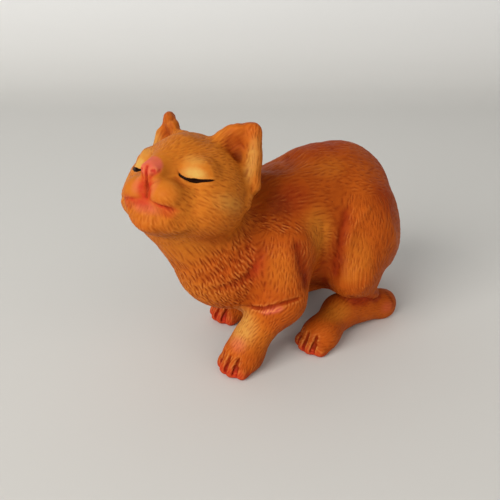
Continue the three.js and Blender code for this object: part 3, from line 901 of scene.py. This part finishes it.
def toe_patches() -> list[Patch]:
    """Gives the swelling of each toe and the red tips of every paw.

    Returns:
        The patches.
    """
    patches = []
    for x, y, red in PAWS:
        for step, reach in ((-1.5, -4.6), (-0.5, -5.8), (0.5, -5.8), (1.5, -4.6)):
            patches.append(Patch((x + step * TOE_PITCH, y + reach, 2.2), (1.7, 2.6, 2.6), 0.4))
        tip = (x + 0.4, y - 6.0, 0.0)
        patches += tints(BODY, False, (
            (tip, (9.0, 7.5, red), Paint.BLUSH, 0.95, 0.4),
            (tip, (9.0, 6.5, 0.65 * red), Paint.RUST, 0.8, 0.4),
        ))
    return patches


def swollen_copy(name: str, swell: float) -> bmesh.types.BMesh:
    """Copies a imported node's mesh and moves its surface outwards.

    Args:
        name: the node.
        swell: how far it moves, in millimetres.

    Returns:
        The copy, for the caller to free.
    """
    copy = bmesh.new()
    copy.from_mesh(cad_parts[name].data)
    bmesh.ops.remove_doubles(copy, verts=copy.verts, dist=MM * 0.001)
    copy.normal_update()
    for vertex in copy.verts:
        vertex.co += vertex.normal * (swell * MM)
    return copy


def blank_mesh() -> bpy.types.Mesh:
    """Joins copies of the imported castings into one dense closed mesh, with the seams between them shut.

    Returns:
        The mesh, in the row frame.
    """
    joined = bmesh.new()
    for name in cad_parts:
        if not name.endswith("casting"):
            continue
        copy = swollen_copy(name, SEAM_SWELL)
        scratch = bpy.data.meshes.new("scratch")
        copy.to_mesh(scratch)
        copy.free()
        joined.from_mesh(scratch)
        bpy.data.meshes.remove(scratch)
    mesh = bpy.data.meshes.new("joined")
    joined.to_mesh(mesh)
    joined.free()
    blank = bpy.data.objects.new("joined", mesh)
    bpy.context.scene.collection.objects.link(blank)
    remesh = blank.modifiers.new("remesh", "REMESH")
    remesh.mode = "VOXEL"
    remesh.voxel_size = VOXEL * MM
    graph = bpy.context.evaluated_depsgraph_get()
    dense = bpy.data.meshes.new_from_object(blank.evaluated_get(graph))
    bpy.data.objects.remove(blank)
    bpy.data.meshes.remove(mesh)
    return dense


@dataclass(frozen=True)
class Room:
    """The space of one casting: the hull of its parting face and of corners beyond the casting."""

    face: Place
    middle: Flat
    radii: Flat
    beyond: tuple[Point, ...]
    outline_points: int = 32

    def outline(self) -> list[Vector]:
        """Gives the parting face's outline in the sculpting frame.

        Returns:
            The outline's corners.
        """
        turns = (2 * math.pi * i / self.outline_points for i in range(self.outline_points))
        (x, y), (a, b) = self.middle, self.radii
        ring = np.array([(x + a * math.cos(t), y + b * math.sin(t), 0.0) for t in turns])
        return [Vector(p) for p in self.face.world(ring)]

    def holds(self, points: Array) -> Array:
        """Tells which points lie in the room.

        Args:
            points: points in the sculpting frame.

        Returns:
            True for each point inside.
        """
        hull = bmesh.new()
        for corner in [*self.outline(), *(Vector(p) for p in self.beyond)]:
            hull.verts.new(corner)
        bmesh.ops.convex_hull(hull, input=hull.verts)
        middle = sum((v.co for v in hull.verts), Vector()) / len(hull.verts)
        inside = np.ones(len(points), bool)
        hull.normal_update()
        for side in hull.faces:
            normal = side.normal if side.normal.dot(side.calc_center_median() - middle) > 0 else -side.normal
            inside &= (points - np.array(side.calc_center_median())) @ np.array(normal) <= 0
        hull.free()
        return inside


def head_room() -> Room:
    """Gives the head's room, above a tilted face across the neck.

    Returns:
        The room.
    """
    tilt = Euler((math.radians(NECK_TILT), 0, 0))
    along = np.array(tilt.to_matrix()) @ (0, 0, 1)
    face = Place(tuple(np.array(HEAD.origin) - NECK_DROP * along), tilt)
    flat = Room(face, (0, -1.5), (26, 29), ())
    top = tuple(tuple(np.array(p) + 40 * along) for p in flat.outline())
    return replace(flat, beyond=top)


def leg_room(
    joint: Point, tilt: float, lean: float, middle: Flat, radii: Flat, foot: Sequence[Point]
) -> Room:
    """Gives a leg's room, below its parting face.

    Args:
        joint: the middle of the parting face.
        tilt: how far the face tilts towards the back, in degrees.
        lean: how far it leans towards the belly, in degrees.
        middle: the ellipse's middle, in the face.
        radii: the ellipse's radii.
        foot: the places of the foot on the ground.

    Returns:
        The room.
    """
    back = Matrix.Rotation(math.pi - math.radians(tilt), 3, "X")
    turn = (back @ Matrix.Rotation(math.radians(lean), 3, "Y")).to_euler()
    places = np.array(foot)
    round_foot = (6.6, 7.6)
    (x0, y0), (x1, y1) = places[:, :2].min(0) - round_foot, places[:, :2].max(0) + round_foot
    floor = tuple((x, y, -1.2) for x, y in ((x0, y0), (x1, y0), (x1, y1), (x0, y1)))
    return Room(Place(joint, turn), middle, radii, floor)


@dataclass(frozen=True)
class Casting:
    """One visible casting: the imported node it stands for, its room and its paint's slot."""

    node: str
    slot: str
    room: Room | None = None

    @property
    def name(self) -> str:
        """Gives the visible piece's name."""
        return self.node.replace("_casting", "_painted")


CASTINGS = (
    Casting("body_casting", "body_paint"),
    Casting("head_casting", "head_paint", head_room()),
    Casting(
        "left_foreleg_casting", "foreleg_paint",
        leg_room((12.3, -17, 19.2), 0, 17, (1, 0), (7.5, 8.5), [(8.6, -26, 0)]),
    ),
    Casting(
        "right_foreleg_casting", "foreleg_paint",
        leg_room((-12.5, -9.4, 16.5), 5, -22, (-1, 0), (7.3, 8), [(-13.7, -11.6, 0)]),
    ),
    Casting(
        "left_hind_foot_casting", "hind_foot_paint",
        leg_room(
            (13.6, 15.6, 9.8), 8, 0, (1.5, 3), (8.4, 19), [(14.2, -3.5, 0), (11.3, 7, 0), (13.6, 22.5, 0)]
        ),
    ),
    Casting(
        "right_hind_foot_casting", "hind_foot_paint",
        leg_room(
            (-15.6, 22.1, 9.8), 8, 0, (-1.5, 3), (8.4, 19), [(-16.2, 3, 0), (-13.3, 13.5, 0), (-15.6, 29, 0)]
        ),
    ),
    Casting("tail_casting", "tail_paint"),
)


class Joinery:
    """What holds the castings together: the bores for the pins, and the head's spigot and its socket."""

    def __init__(self) -> None:
        """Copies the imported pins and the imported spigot, with the clearance round them."""
        pins = [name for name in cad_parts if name.endswith("_pin")]
        # The vertices on a pin's rim move both outwards and endways
        rim_swell = BORE_CLEARANCE * math.sqrt(2)
        self.bores = self._tool("bores", [swollen_copy(name, rim_swell) for name in pins])
        self.spigot = self._tool("spigot", [self._spigot(0.0)])
        self.socket = self._tool("socket", [self._spigot(BORE_CLEARANCE)])

    @staticmethod
    def _tool(name: str, solids: Sequence[bmesh.types.BMesh]) -> bpy.types.Object:
        """Makes one object of some closed solids.

        Args:
            name: the object's name.
            solids: the solids, which are freed.

        Returns:
            The object.
        """
        mesh = bpy.data.meshes.new(name)
        joined = bmesh.new()
        for solid in solids:
            solid.to_mesh(mesh)
            solid.free()
            joined.from_mesh(mesh)
        joined.to_mesh(mesh)
        joined.free()
        tool = bpy.data.objects.new(name, mesh)
        bpy.context.scene.collection.objects.link(tool)
        return tool

    @staticmethod
    def _spigot(swell: float) -> bmesh.types.BMesh:
        """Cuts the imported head's spigot off below the neck's seam and lengthens it through the seam.

        Args:
            swell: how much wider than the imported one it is, in millimetres.

        Returns:
            The closed spigot.
        """
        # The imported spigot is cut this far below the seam, and its end is moved this far above it
        below, above = 0.8 * MM, 0.6 * MM
        face = head_room().face
        upward = Vector(np.array(face.turn.to_matrix())[:, 2])
        seam = Vector((np.array(face.origin) + ORIGIN) * MM)
        spigot = swollen_copy("head_casting", swell)
        bmesh.ops.bisect_plane(spigot, geom=[*spigot.verts, *spigot.edges, *spigot.faces], dist=1e-8,
                               plane_co=seam - upward * below, plane_no=upward, clear_outer=True)
        rim = [e for e in spigot.edges if e.is_boundary]
        for vertex in {v for edge in rim for v in edge.verts}:
            vertex.co += upward * (below + above)
        bmesh.ops.holes_fill(spigot, edges=rim, sides=0)
        bmesh.ops.triangulate(spigot, faces=spigot.faces)
        bmesh.ops.recalc_face_normals(spigot, faces=spigot.faces)
        return spigot

    def fit(self, piece: bpy.types.Object) -> None:
        """Bores a casting for its pins, and gives the head its spigot and the body its socket.

        Args:
            piece: the closed casting.
        """
        if piece.name.startswith("head"):
            self._combine(piece, "UNION", self.spigot)
            return
        self._combine(piece, "DIFFERENCE", self.bores)
        if piece.name.startswith("body"):
            self._combine(piece, "DIFFERENCE", self.socket)

    @staticmethod
    def _combine(piece: bpy.types.Object, operation: str, tool: bpy.types.Object) -> None:
        """Joins a tool to a casting, or cuts it out.

        Args:
            piece: the casting.
            operation: the boolean operation.
            tool: the other solid.
        """
        change = piece.modifiers.new("joinery", "BOOLEAN")
        change.operation = operation
        change.solver = "MANIFOLD"
        change.object = tool
        before = len(piece.data.polygons)
        settle(piece)
        after = len(piece.data.polygons)
        log.info("%s %s %s: %d faces, %d before", piece.name, operation, tool.name, after, before)

    def clear(self) -> None:
        """Takes the tools away."""
        for tool in (self.bores, self.spigot, self.socket):
            bpy.data.objects.remove(tool)


def settle(piece: bpy.types.Object) -> None:
    """Applies a piece's modifiers, with its attributes kept.

    Args:
        piece: the piece, whose mesh is replaced.
    """
    graph = bpy.context.evaluated_depsgraph_get()
    done = piece.evaluated_get(graph)
    piece.data = bpy.data.meshes.new_from_object(done, preserve_all_data_layers=True, depsgraph=graph)
    piece.modifiers.clear()


class Kitten:
    """The whole kitten: it is sculpted and painted in one, then parted into its castings."""

    def __init__(self) -> None:
        """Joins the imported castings."""
        self.clay = Clay(blank_mesh())
        self.marks: dict[str, Array] = {}
        log.info("blank: %d points", len(self.clay.points))

    def rough_out(self) -> None:
        """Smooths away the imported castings' facets and sets the surface back to where theirs is."""
        steps = round(10 * (0.2 / VOXEL) ** 2) + 2
        self.clay.points = self.clay.relaxed(steps)
        self.clay.points -= SWELL_BACK * self.clay.normals()
        self.clay.points = self.clay.relaxed(3)

    def model_forms(self) -> None:
        """Presses the face, the folds and the toes into the surface."""
        patches = (*FACE_PATCHES, *BODY_PATCHES, *toe_patches())
        for forms in (PULLS, patches, BODY_LINES, FACE_LINES, toe_lines()):
            normals = self.clay.normals()
            for form in forms:
                form.press(self.clay, normals)

    def _fur_shares(self) -> list[tuple[Pelt, Array]]:
        """Gives the lies of the fur and how far each point belongs to each.

        Returns:
            Each lie of the fur with one share for each point.
        """
        points = self.clay.points
        neck = HEAD.world(np.array((0.0, 2.0, -9.0)))
        height = (points - neck) @ neck_axis()
        near_head = np.linalg.norm(points - np.array(HEAD.origin), axis=1) < HEAD_REACH
        head = smooth(-1.5, 1.5, height) * near_head
        ears = [(ear.pelt, ear.share(points) * head) for ear in EARS]
        shares = [(HEAD_PELT, head - sum(share for _, share in ears)), *ears]
        left = 1 - head
        for part in (TAIL, *LIMBS):
            own = part.share(points) * left
            shares.append((part.pelt, own))
            left = left - own
        chest = smooth(-6, -16, points[:, 1]) * smooth(43, 37, points[:, 2]) * left
        return [*shares, (RUFF_PELT, chest), (TRUNK_PELT, left - chest)]

    def lay_fur(self) -> None:
        """Cuts the fur's strokes."""
        points = self.clay.points
        local = HEAD.local(points)
        muzzle = np.linalg.norm((local - (0, -15.5, -0.5)) / (6.5, 5.0, 5.5), axis=1)
        folded = np.abs(local) * (1, 0, 0) + local * (0, 1, 1)
        lids = np.linalg.norm((folded - (7.5, -10, 2.5)) / (5, 3, 3), axis=1)
        bare = smooth(0.8, 1.5, muzzle) * smooth(0.6, 1.3, lids)
        bare *= smooth(0.4, 2.5, points[:, 2])
        below_neck = (np.array(HEAD.origin) - points) @ neck_axis() - NECK_DROP
        throat = smooth(-1.5, 0.5, below_neck) * smooth(6.5, 3.5, below_neck) * smooth(-14, -20, points[:, 1])
        bare *= 1 - 0.5 * throat
        relief = np.zeros(len(points))
        for pelt, share in self._fur_shares():
            own = share > 0.01
            relief[own] += share[own] * pelt.relief(points[own])
        relief *= bare
        # The grooves' mark, for the dark washes and the painted shade in them
        self.marks["groove"] = np.clip(relief / 0.25, 0, 1)
        self.clay.points -= relief[:, None] * self.clay.normals()

    def fit(self) -> None:
        """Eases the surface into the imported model's box, with the soles flat on the ground."""
        low, high = (np.array(corner) / MM - ORIGIN for corner in CAD_BOX)
        middle, half = (high + low) / 2, (high - low) / 2
        away = self.clay.points - middle
        free = half - EASING - BOX_MARGIN
        beyond = np.maximum(np.abs(away) - free, 0)
        eased = np.sign(away) * (np.minimum(np.abs(away), free) + EASING * np.tanh(beyond / EASING))
        lower = away[:, 2] < 0
        eased[lower, 2] = np.maximum(away[lower, 2], -half[2])
        self.clay.points = eased + middle

    def paint(self) -> None:
        """Lays the airbrushed zones, and marks the hollows, the crests and the broad folds for the washes,
        the dry brush, and the painted shade and highlights on them.
        """
        clay = self.clay
        normals = clay.normals()
        for form in (*FACE_PATCHES, *BODY_PATCHES, *FACE_LINES, *BODY_LINES, *toe_lines(), *toe_patches()):
            form.stain(clay, normals)
        bend = np.einsum("ij,ij->i", clay.relaxed(1, 1.0) - clay.points, normals) / VOXEL**2
        fine = clay.spread(bend, 3)
        broad = clay.spread(fine, round(40 * (0.2 / VOXEL) ** 2))
        # Marks for painted light as well as paint: the hollows and the broad folds get washes and rust with
        # painted shade in them, and the crests get a dry brush that is also a painted highlight
        self.marks["hollow"] = smooth(0.05, 0.5, fine)
        self.marks["crest"] = smooth(-0.05, -0.5, fine) * (1 - 0.7 * clay.coats[Paint.BLUSH])
        self.marks["fold"] = smooth(0.01, 0.09, broad)

    def store(self) -> None:
        """Writes the points and the paint onto the mesh."""
        self.clay.store()
        layers = {paint.value: coat for paint, coat in self.clay.coats.items()}
        for name, values in {**layers, **self.marks}.items():
            layer = self.clay.mesh.attributes.new(name, "FLOAT", "POINT")
            layer.data.foreach_set("value", np.clip(values, 0, 1).astype(np.float32))

    def part(self) -> dict[str, bpy.types.Object]:
        """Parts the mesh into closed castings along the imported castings' partings.

        Returns:
            The visible pieces by their node's name.
        """
        whole = bmesh.new()
        whole.from_mesh(self.clay.mesh)
        for casting in CASTINGS:
            if casting.room:
                self._cut(whole, casting.room, self.clay.points)
        whole.faces.ensure_lookup_table()
        centres = np.array([face.calc_center_median() for face in whole.faces])
        owner = self._owners(centres / MM - ORIGIN)
        self._gather(whole, owner)
        mesh = bpy.data.meshes.new("whole")
        whole.to_mesh(mesh)
        whole.free()
        mesh.polygons.foreach_set("material_index", owner.astype(np.int32))
        for casting in CASTINGS:
            mesh.materials.append(bpy.data.materials.new(casting.name))
        source = bpy.data.objects.new("whole", mesh)
        bpy.context.scene.collection.objects.link(source)
        bpy.ops.object.select_all(action="DESELECT")
        bpy.context.view_layer.objects.active = source
        source.select_set(True)
        bpy.ops.object.mode_set(mode="EDIT")
        bpy.ops.mesh.select_all(action="SELECT")
        bpy.ops.mesh.separate(type="MATERIAL")
        bpy.ops.object.mode_set(mode="OBJECT")
        parts = {part.data.materials[0].name: part for part in bpy.context.selected_objects}
        joinery = Joinery()
        for casting in CASTINGS:
            piece = parts[casting.name]
            self._close(piece, casting)
            joinery.fit(piece)
            self._thin(piece)
        joinery.clear()
        return {casting.node: parts[casting.name] for casting in CASTINGS}

    @staticmethod
    def _owners(centres: Array) -> Array:
        """Tells which casting each face belongs to.

        Args:
            centres: the faces' centres, in the sculpting frame.

        Returns:
            The castings' numbers.
        """
        owner = np.zeros(len(centres), int)
        offset, along = nearest_on_path(centres, np.array(TAIL_PATH))
        root, tip = TAIL_RADII
        radius = root + (tip - root) * along
        # The tail lies behind the rump's seam or to the right of the hind foot
        behind = (centres[:, 1] > 26) | (centres[:, 0] < -20)
        owner[(np.linalg.norm(offset, axis=1) < radius + 0.8) & behind] = len(CASTINGS) - 1
        for index, casting in enumerate(CASTINGS):
            if casting.room:
                owner[casting.room.holds(centres)] = index
        return owner

    @staticmethod
    def _gather(whole: bmesh.types.BMesh, owner: Array) -> None:
        """Gives stray patches of faces along the seams to the casting round them.

        Args:
            whole: the mesh.
            owner: each face's casting, which this corrects.
        """
        settled = set()
        for edge in whole.edges:
            sides = edge.link_faces
            if len(sides) != 2 or owner[sides[0].index] == owner[sides[1].index]:
                continue
            for face, other in (sides, reversed(sides)):
                if face.index in settled or owner[face.index] == owner[other.index]:
                    continue
                patch = {face.index}
                front = [face]
                while front and len(patch) < STRAY_FACES:
                    near = dict.fromkeys(f for e in front.pop().edges for f in e.link_faces)
                    own = [f for f in near if owner[f.index] == owner[face.index]]
                    fresh = [f for f in own if f.index not in patch]
                    patch.update(f.index for f in fresh)
                    front.extend(fresh)
                if len(patch) < STRAY_FACES:
                    owner[list(patch)] = owner[other.index]
                else:
                    settled |= patch

    @staticmethod
    def _cut(whole: bmesh.types.BMesh, room: Room, points: Array) -> None:
        """Cuts the faces that a parting face crosses.

        Args:
            whole: the mesh.
            room: the room whose parting face cuts.
            points: the mesh's own points, in the sculpting frame.
        """
        whole.verts.ensure_lookup_table()
        local = room.face.local(points)
        reach = ((local[:, 0] - room.middle[0]) / (room.radii[0] + 1)) ** 2
        reach += ((local[:, 1] - room.middle[1]) / (room.radii[1] + 1)) ** 2
        near = np.flatnonzero((reach < 1) & (np.abs(local[:, 2]) < 1.0))
        faces = dict.fromkeys(f for i in near for f in whole.verts[i].link_faces)
        edges = dict.fromkeys(e for f in faces for e in f.edges)
        verts = dict.fromkeys(v for f in faces for v in f.verts)
        turn = np.array(room.face.turn.to_matrix())
        bmesh.ops.bisect_plane(
            whole, geom=[*verts, *edges, *faces], dist=1e-8,
            plane_co=Vector((np.array(room.face.origin) + ORIGIN) * MM), plane_no=Vector(turn[:, 2]),
        )

    @staticmethod
    def _close(piece: bpy.types.Object, casting: Casting) -> None:
        """Closes and names a casting where it was parted.

        Args:
            piece: the casting's open shell.
            casting: the casting.
        """
        own = bmesh.new()
        own.from_mesh(piece.data)
        bmesh.ops.remove_doubles(own, verts=[v for v in own.verts if v.is_boundary], dist=0.002 * MM)
        # Where two stretches of a rim touch in one point, the faces round it go
        for _ in range(PINCH_ROUNDS):
            edge_of_hole = [v for v in own.verts if v.is_boundary]
            pinched = [v for v in edge_of_hole if sum(e.is_boundary for e in v.link_edges) > 2]
            if not pinched:
                break
            bmesh.ops.delete(own, geom=list({f for v in pinched for f in v.link_faces}), context="FACES")
        rim = [e for e in own.edges if e.is_boundary]
        for edge in rim:
            edge.smooth = False
        for face in own.faces:
            face.smooth = True
        caps = bmesh.ops.poke(own, faces=bmesh.ops.holes_fill(own, edges=rim, sides=0)["faces"])["faces"]
        for face in caps:
            face.smooth = False
        own.to_mesh(piece.data)
        own.free()
        piece.name = piece.data.name = casting.name
        piece.data.materials.clear()

    @staticmethod
    def _thin(piece: bpy.types.Object) -> None:
        """Brings a casting under the number of triangles that one piece may have.

        Args:
            piece: the casting.
        """
        triangles = sum(len(p.vertices) - 2 for p in piece.data.polygons)
        if triangles > PIECE_TRIANGLES:
            thin = piece.modifiers.new("thin", "DECIMATE")
            thin.ratio = PIECE_TRIANGLES / triangles
            settle(piece)


def linear(colour: str) -> tuple[float, float, float, float]:
    """Turns an sRGB hex colour to linear light.

    Args:
        colour: such as "#b8632a".

    Returns:
        Red, green, blue and an alpha of 1.
    """
    channels = (int(colour[i : i + 2], 16) / 255 for i in (1, 3, 5))
    red, green, blue = (c / 12.92 if c <= 0.04045 else ((c + 0.055) / 1.055) ** 2.4 for c in channels)
    return red, green, blue, 1.0


def add_node(
    tree: bpy.types.NodeTree, kind: str, settings: dict[str, object] | None = None, **links: object
) -> bpy.types.Node:
    """Adds a node to a material.

    Args:
        tree: the material's nodes.
        kind: the node's type.
        settings: the node's own properties.
        links: a value or another node's socket for each input, by its name, or by "i" and its number.

    Returns:
        The node.
    """
    node = tree.nodes.new(kind)
    for name, value in (settings or {}).items():
        setattr(node, name, value)
    for name, value in links.items():
        numbered = name[0] == "i" and name[1:].isdigit()
        socket = node.inputs[int(name[1:]) if numbered else name.replace("_", " ")]
        if isinstance(value, bpy.types.NodeSocket):
            tree.links.new(value, socket)
        else:
            socket.default_value = value
    return node


def empty_material(name: str) -> bpy.types.Material:
    """Makes a material without nodes in it.

    Args:
        name: the material's name.

    Returns:
        The material.
    """
    material = bpy.data.materials.new(name)
    material.use_nodes = True
    material.node_tree.nodes.clear()
    return material


def pattern(tree: bpy.types.NodeTree, millimetres: float, detail: float) -> bpy.types.NodeSocket:
    """Adds a cloudy pattern that is fixed to the object.

    Args:
        tree: the material's nodes.
        millimetres: the size of its clouds.
        detail: how many finer layers it has.

    Returns:
        The pattern's value.
    """
    place = add_node(tree, "ShaderNodeTexCoord").outputs["Object"]
    noise = add_node(tree, "ShaderNodeTexNoise", Vector=place, Scale=1 / (millimetres * MM), Detail=detail)
    return noise.outputs["Fac"]


def ranged(
    tree: bpy.types.NodeTree, value: object, start: Flat, end: Flat = (0.0, 1.0)
) -> bpy.types.NodeSocket:
    """Stretches a value from one range to another.

    Args:
        tree: the material's nodes.
        value: the value's socket.
        start: the range that it has.
        end: the range that it gets.

    Returns:
        The stretched value.
    """
    node = add_node(tree, "ShaderNodeMapRange", Value=value, i1=start[0], i2=start[1], i3=end[0], i4=end[1])
    return node.outputs["Result"]


@dataclass(frozen=True)
class PaintedResin:
    """Cast polyresin, airbrushed and washed by hand, under a satin lacquer.

    The base coat is mottled, dark washes with painted shade in them lie in the grooves and hollows, and a dry
    brush that is also a painted highlight has caught the crests.
    """

    name: str
    base: str = "#b25314"
    deep: str = "#933a0a"
    colours: dict[Paint, str] = field(default_factory=lambda: {
        Paint.OCHRE: "#c07222",
        Paint.CREAM: "#c4a555",
        Paint.RUST: "#8a2c0a",
        Paint.UMBER: "#521604",
        Paint.ROSE: "#c9594a",
        Paint.BLUSH: "#b02a1a",
        Paint.INK: "#1f0c05",
    })
    # Dark red-brown: washes in the grooves and hollows, and painted shade there as well
    wash_and_painted_shade: str = "#6e1d04"
    # Pale orange: a dry brush on the crests, and a painted highlight there as well
    dry_brush_and_painted_highlight: str = "#dc8f44"
    roughness: Flat = (0.4, 0.58)
    ior: float = 1.48
    gloss: float = 0.04

    @staticmethod
    def _share(
        tree: bpy.types.NodeTree, name: str, noise: bpy.types.NodeSocket, full: float
    ) -> bpy.types.NodeSocket:
        """Reads a paint's attribute and breaks it up a little.

        Args:
            tree: the material's nodes.
            name: the attribute.
            noise: the pattern that breaks it up.
            full: how much of it shows at most.

        Returns:
            The share of the paint.
        """
        value = add_node(tree, "ShaderNodeAttribute", {"attribute_name": name}).outputs["Fac"]
        patchy = ranged(tree, noise, (0.25, 0.7), (full * 0.65, full))
        product = {"operation": "MULTIPLY", "use_clamp": True}
        return add_node(tree, "ShaderNodeMath", product, i0=value, i1=patchy).outputs["Value"]

    @staticmethod
    def _over(tree: bpy.types.NodeTree, under: object, over: object, share: object) -> bpy.types.NodeSocket:
        """Lays one colour over another."""
        mix = add_node(tree, "ShaderNodeMix", {"data_type": "RGBA"}, i0=share, i6=under, i7=over)
        return mix.outputs[2]

    def make(self) -> bpy.types.Material:
        """Makes the material.

        Returns:
            The material.
        """
        material = empty_material(self.name)
        tree = material.node_tree
        clouds = pattern(tree, 8.0, 2.0)
        dabs = pattern(tree, 1.1, 4.0)
        grain = pattern(tree, 0.35, 2.0)
        mottle = ranged(tree, clouds, (0.3, 0.7), (0.0, 0.7))
        colour = self._over(tree, linear(self.base), linear(self.deep), mottle)
        # Rust in the broad folds: airbrushed colour, and painted shade there as well
        shares = [(self.colours[Paint.RUST], self._share(tree, "fold", clouds, 0.75))]
        for paint in (Paint.OCHRE, Paint.CREAM, Paint.RUST, Paint.UMBER, Paint.ROSE, Paint.BLUSH):
            shares.append((self.colours[paint], self._share(tree, paint.value, dabs, 1.0)))
        # Dark washes in the fur's grooves and in the hollows, which are painted shade there as well
        shares.append((self.wash_and_painted_shade, self._share(tree, "groove", dabs, 0.85)))
        shares.append((self.wash_and_painted_shade, self._share(tree, "hollow", grain, 0.6)))
        # A pale dry brush on the crests, which is a painted highlight as well
        shares.append((self.dry_brush_and_painted_highlight, self._share(tree, "crest", dabs, 0.5)))
        ink = add_node(tree, "ShaderNodeAttribute", {"attribute_name": Paint.INK.value}).outputs["Fac"]
        shares.append((self.colours[Paint.INK], ranged(tree, ink, (0.25, 0.6))))
        for coat, share in shares:
            colour = self._over(tree, colour, linear(coat), share)
        rough = ranged(tree, dabs, (0.3, 0.7), self.roughness)
        # A grain under 0.05 mm deep, as the resin's skin has under its lacquer
        bump = add_node(tree, "ShaderNodeBump", Strength=0.25, Distance=0.05 * MM, Height=grain)
        shader = add_node(
            tree, "ShaderNodeBsdfPrincipled",
            Base_Color=colour, Roughness=rough, Normal=bump.outputs["Normal"],
            IOR=self.ior, Specular_IOR_Level=self.gloss,
        )
        add_node(tree, "ShaderNodeOutputMaterial", Surface=shader.outputs["BSDF"])
        return material


@dataclass(frozen=True)
class CutSteelWire:
    """Steel wire, drawn and cut: fine scratches round it and a soft grey shine."""

    name: str = "drawn_steel_wire"
    colour: str = "#b9bcc0"
    scratch: float = 0.15
    roughness: Flat = (0.28, 0.42)

    def make(self) -> bpy.types.Material:
        """Makes the material.

        Returns:
            The material.
        """
        material = empty_material(self.name)
        tree = material.node_tree
        rough = ranged(tree, pattern(tree, self.scratch, 2.0), (0.3, 0.7), self.roughness)
        shader = add_node(
            tree, "ShaderNodeBsdfPrincipled", Base_Color=linear(self.colour), Roughness=rough, Metallic=1.0
        )
        add_node(tree, "ShaderNodeOutputMaterial", Surface=shader.outputs["BSDF"])
        return material


@dataclass(frozen=True)
class Studio:
    """The pale floor, the soft light and the camera."""

    camera_place: Point = (119.725, -109.65, 95.0)
    camera_turn: Point = (66.0, 0.0, 50.0)
    lens: float = 46.08
    # The backdrop's side view: distances behind the kitten and heights, in metres
    profile: tuple[Flat, ...] = (
        (-0.6, 0.0), (0.30, 0.0), (0.34, 0.004), (0.37, 0.018), (0.39, 0.045), (0.40, 0.08), (0.40, 0.9),
    )
    width: float = 2.4
    floor_colour: str = "#cac9c6"
    wall_colour: str = "#e8e9eb"

    def _card(self, name: str) -> bpy.types.Material:
        """Makes the matt card of the floor, which grows paler up the backdrop as painted light.

        Args:
            name: the material's name.

        Returns:
            The material.
        """
        material = bpy.data.materials.new(name)
        material.use_nodes = True
        tree = material.node_tree
        place = add_node(tree, "ShaderNodeTexCoord").outputs["Object"]
        height = add_node(tree, "ShaderNodeSeparateXYZ", Vector=place).outputs["Z"]
        floor, wall = linear(self.floor_colour), linear(self.wall_colour)
        # Painted light: the backdrop is paler than the floor as it rises
        share = ranged(tree, height, (0.0, 0.12))
        blend = add_node(tree, "ShaderNodeMix", {"data_type": "RGBA"}, i0=share, i6=floor, i7=wall)
        shader = tree.nodes["Principled BSDF"]
        tree.links.new(blend.outputs[2], shader.inputs["Base Color"])
        shader.inputs["Roughness"].default_value = 0.9
        return material

    def _sweep(self) -> None:
        """Makes the floor, curving up into the backdrop behind."""
        mesh = bmesh.new()
        away = Vector((-0.766, 0.643, 0))
        side = Vector((0.643, 0.766, 0)) * self.width
        path = [mesh.verts.new(away * along - side / 2 + Vector((0, 0, up))) for along, up in self.profile]
        edges = [mesh.edges.new(pair) for pair in zip(path[:-1], path[1:])]
        swept = bmesh.ops.extrude_edge_only(mesh, edges=edges)["geom"]
        bmesh.ops.translate(mesh, verts=[v for v in swept if isinstance(v, bmesh.types.BMVert)], vec=side)
        for face in mesh.faces:
            face.smooth = True
        bmesh.ops.recalc_face_normals(mesh, faces=mesh.faces)
        data = bpy.data.meshes.new("sweep")
        mesh.to_mesh(data)
        mesh.free()
        sweep = bpy.data.objects.new("sweep", data)
        data.materials.append(self._card("matt_card"))
        bpy.context.scene.collection.objects.link(sweep)

    def _lamp(self, name: str, place: Point, size: float, watts: float, colour: str) -> None:
        """Adds a soft square lamp that faces the kitten.

        Args:
            name: its name.
            place: its place, in metres.
            size: its side, in metres.
            watts: its power.
            colour: its colour.
        """
        light = bpy.data.lights.new(name, "AREA")
        light.size = size
        light.energy = watts
        light.color = linear(colour)[:3]
        lamp = bpy.data.objects.new(name, light)
        lamp.location = place
        lamp.rotation_euler = (Vector((0, 0, 0.03)) - Vector(place)).to_track_quat("-Z", "Y").to_euler()
        bpy.context.scene.collection.objects.link(lamp)

    def build(self) -> None:
        """Sets the stage."""
        self._sweep()
        self._lamp("window", (0.15, -0.8, 0.42), 0.6, 8.8, "#fffdf8")
        self._lamp("fill", (0.7, -0.1, 0.4), 0.8, 1.6, "#fff8f0")
        world = bpy.data.worlds.new("room")
        world.use_nodes = True
        background = world.node_tree.nodes["Background"]
        background.inputs["Color"].default_value = linear("#f2f1ee")
        background.inputs["Strength"].default_value = 0.4
        scene = bpy.context.scene
        scene.world = world
        scene.view_settings.view_transform = "Standard"
        camera = bpy.data.objects.new("camera", bpy.data.cameras.new("camera"))
        camera.data.lens = self.lens
        camera.data.clip_start = 0.01
        camera.location = Vector(self.camera_place) * MM
        camera.rotation_euler = Euler([math.radians(a) for a in self.camera_turn])
        scene.collection.objects.link(camera)
        scene.camera = camera


def main() -> None:
    """Builds the stage and the kitten, piece by piece."""
    Studio().build()
    kitten = Kitten()
    kitten.rough_out()
    kitten.model_forms()
    kitten.lay_fur()
    kitten.fit()
    kitten.paint()
    kitten.store()
    pieces = kitten.part()
    slots = dict.fromkeys(casting.slot for casting in CASTINGS)
    paints = {slot: PaintedResin(f"painted_polyresin_{slot}").make() for slot in slots}
    for casting in CASTINGS:
        piece = pieces[casting.node]
        # Cutting the bores leaves an empty slot, which has to go before the paint comes
        piece.data.materials.clear()
        piece.data.materials.append(paints[casting.slot])
        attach(piece, "root")
        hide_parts(casting.node)
        log.info("%s: %d faces", piece.name, len(piece.data.polygons))
    steel = CutSteelWire().make()
    for name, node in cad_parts.items():
        if name.endswith("_pin"):
            node.data.materials.clear()
            node.data.materials.append(steel)
            log.info("%s: steel", name)


if __name__ == "__main__":
    main()
    bpy.context.view_layer.update()
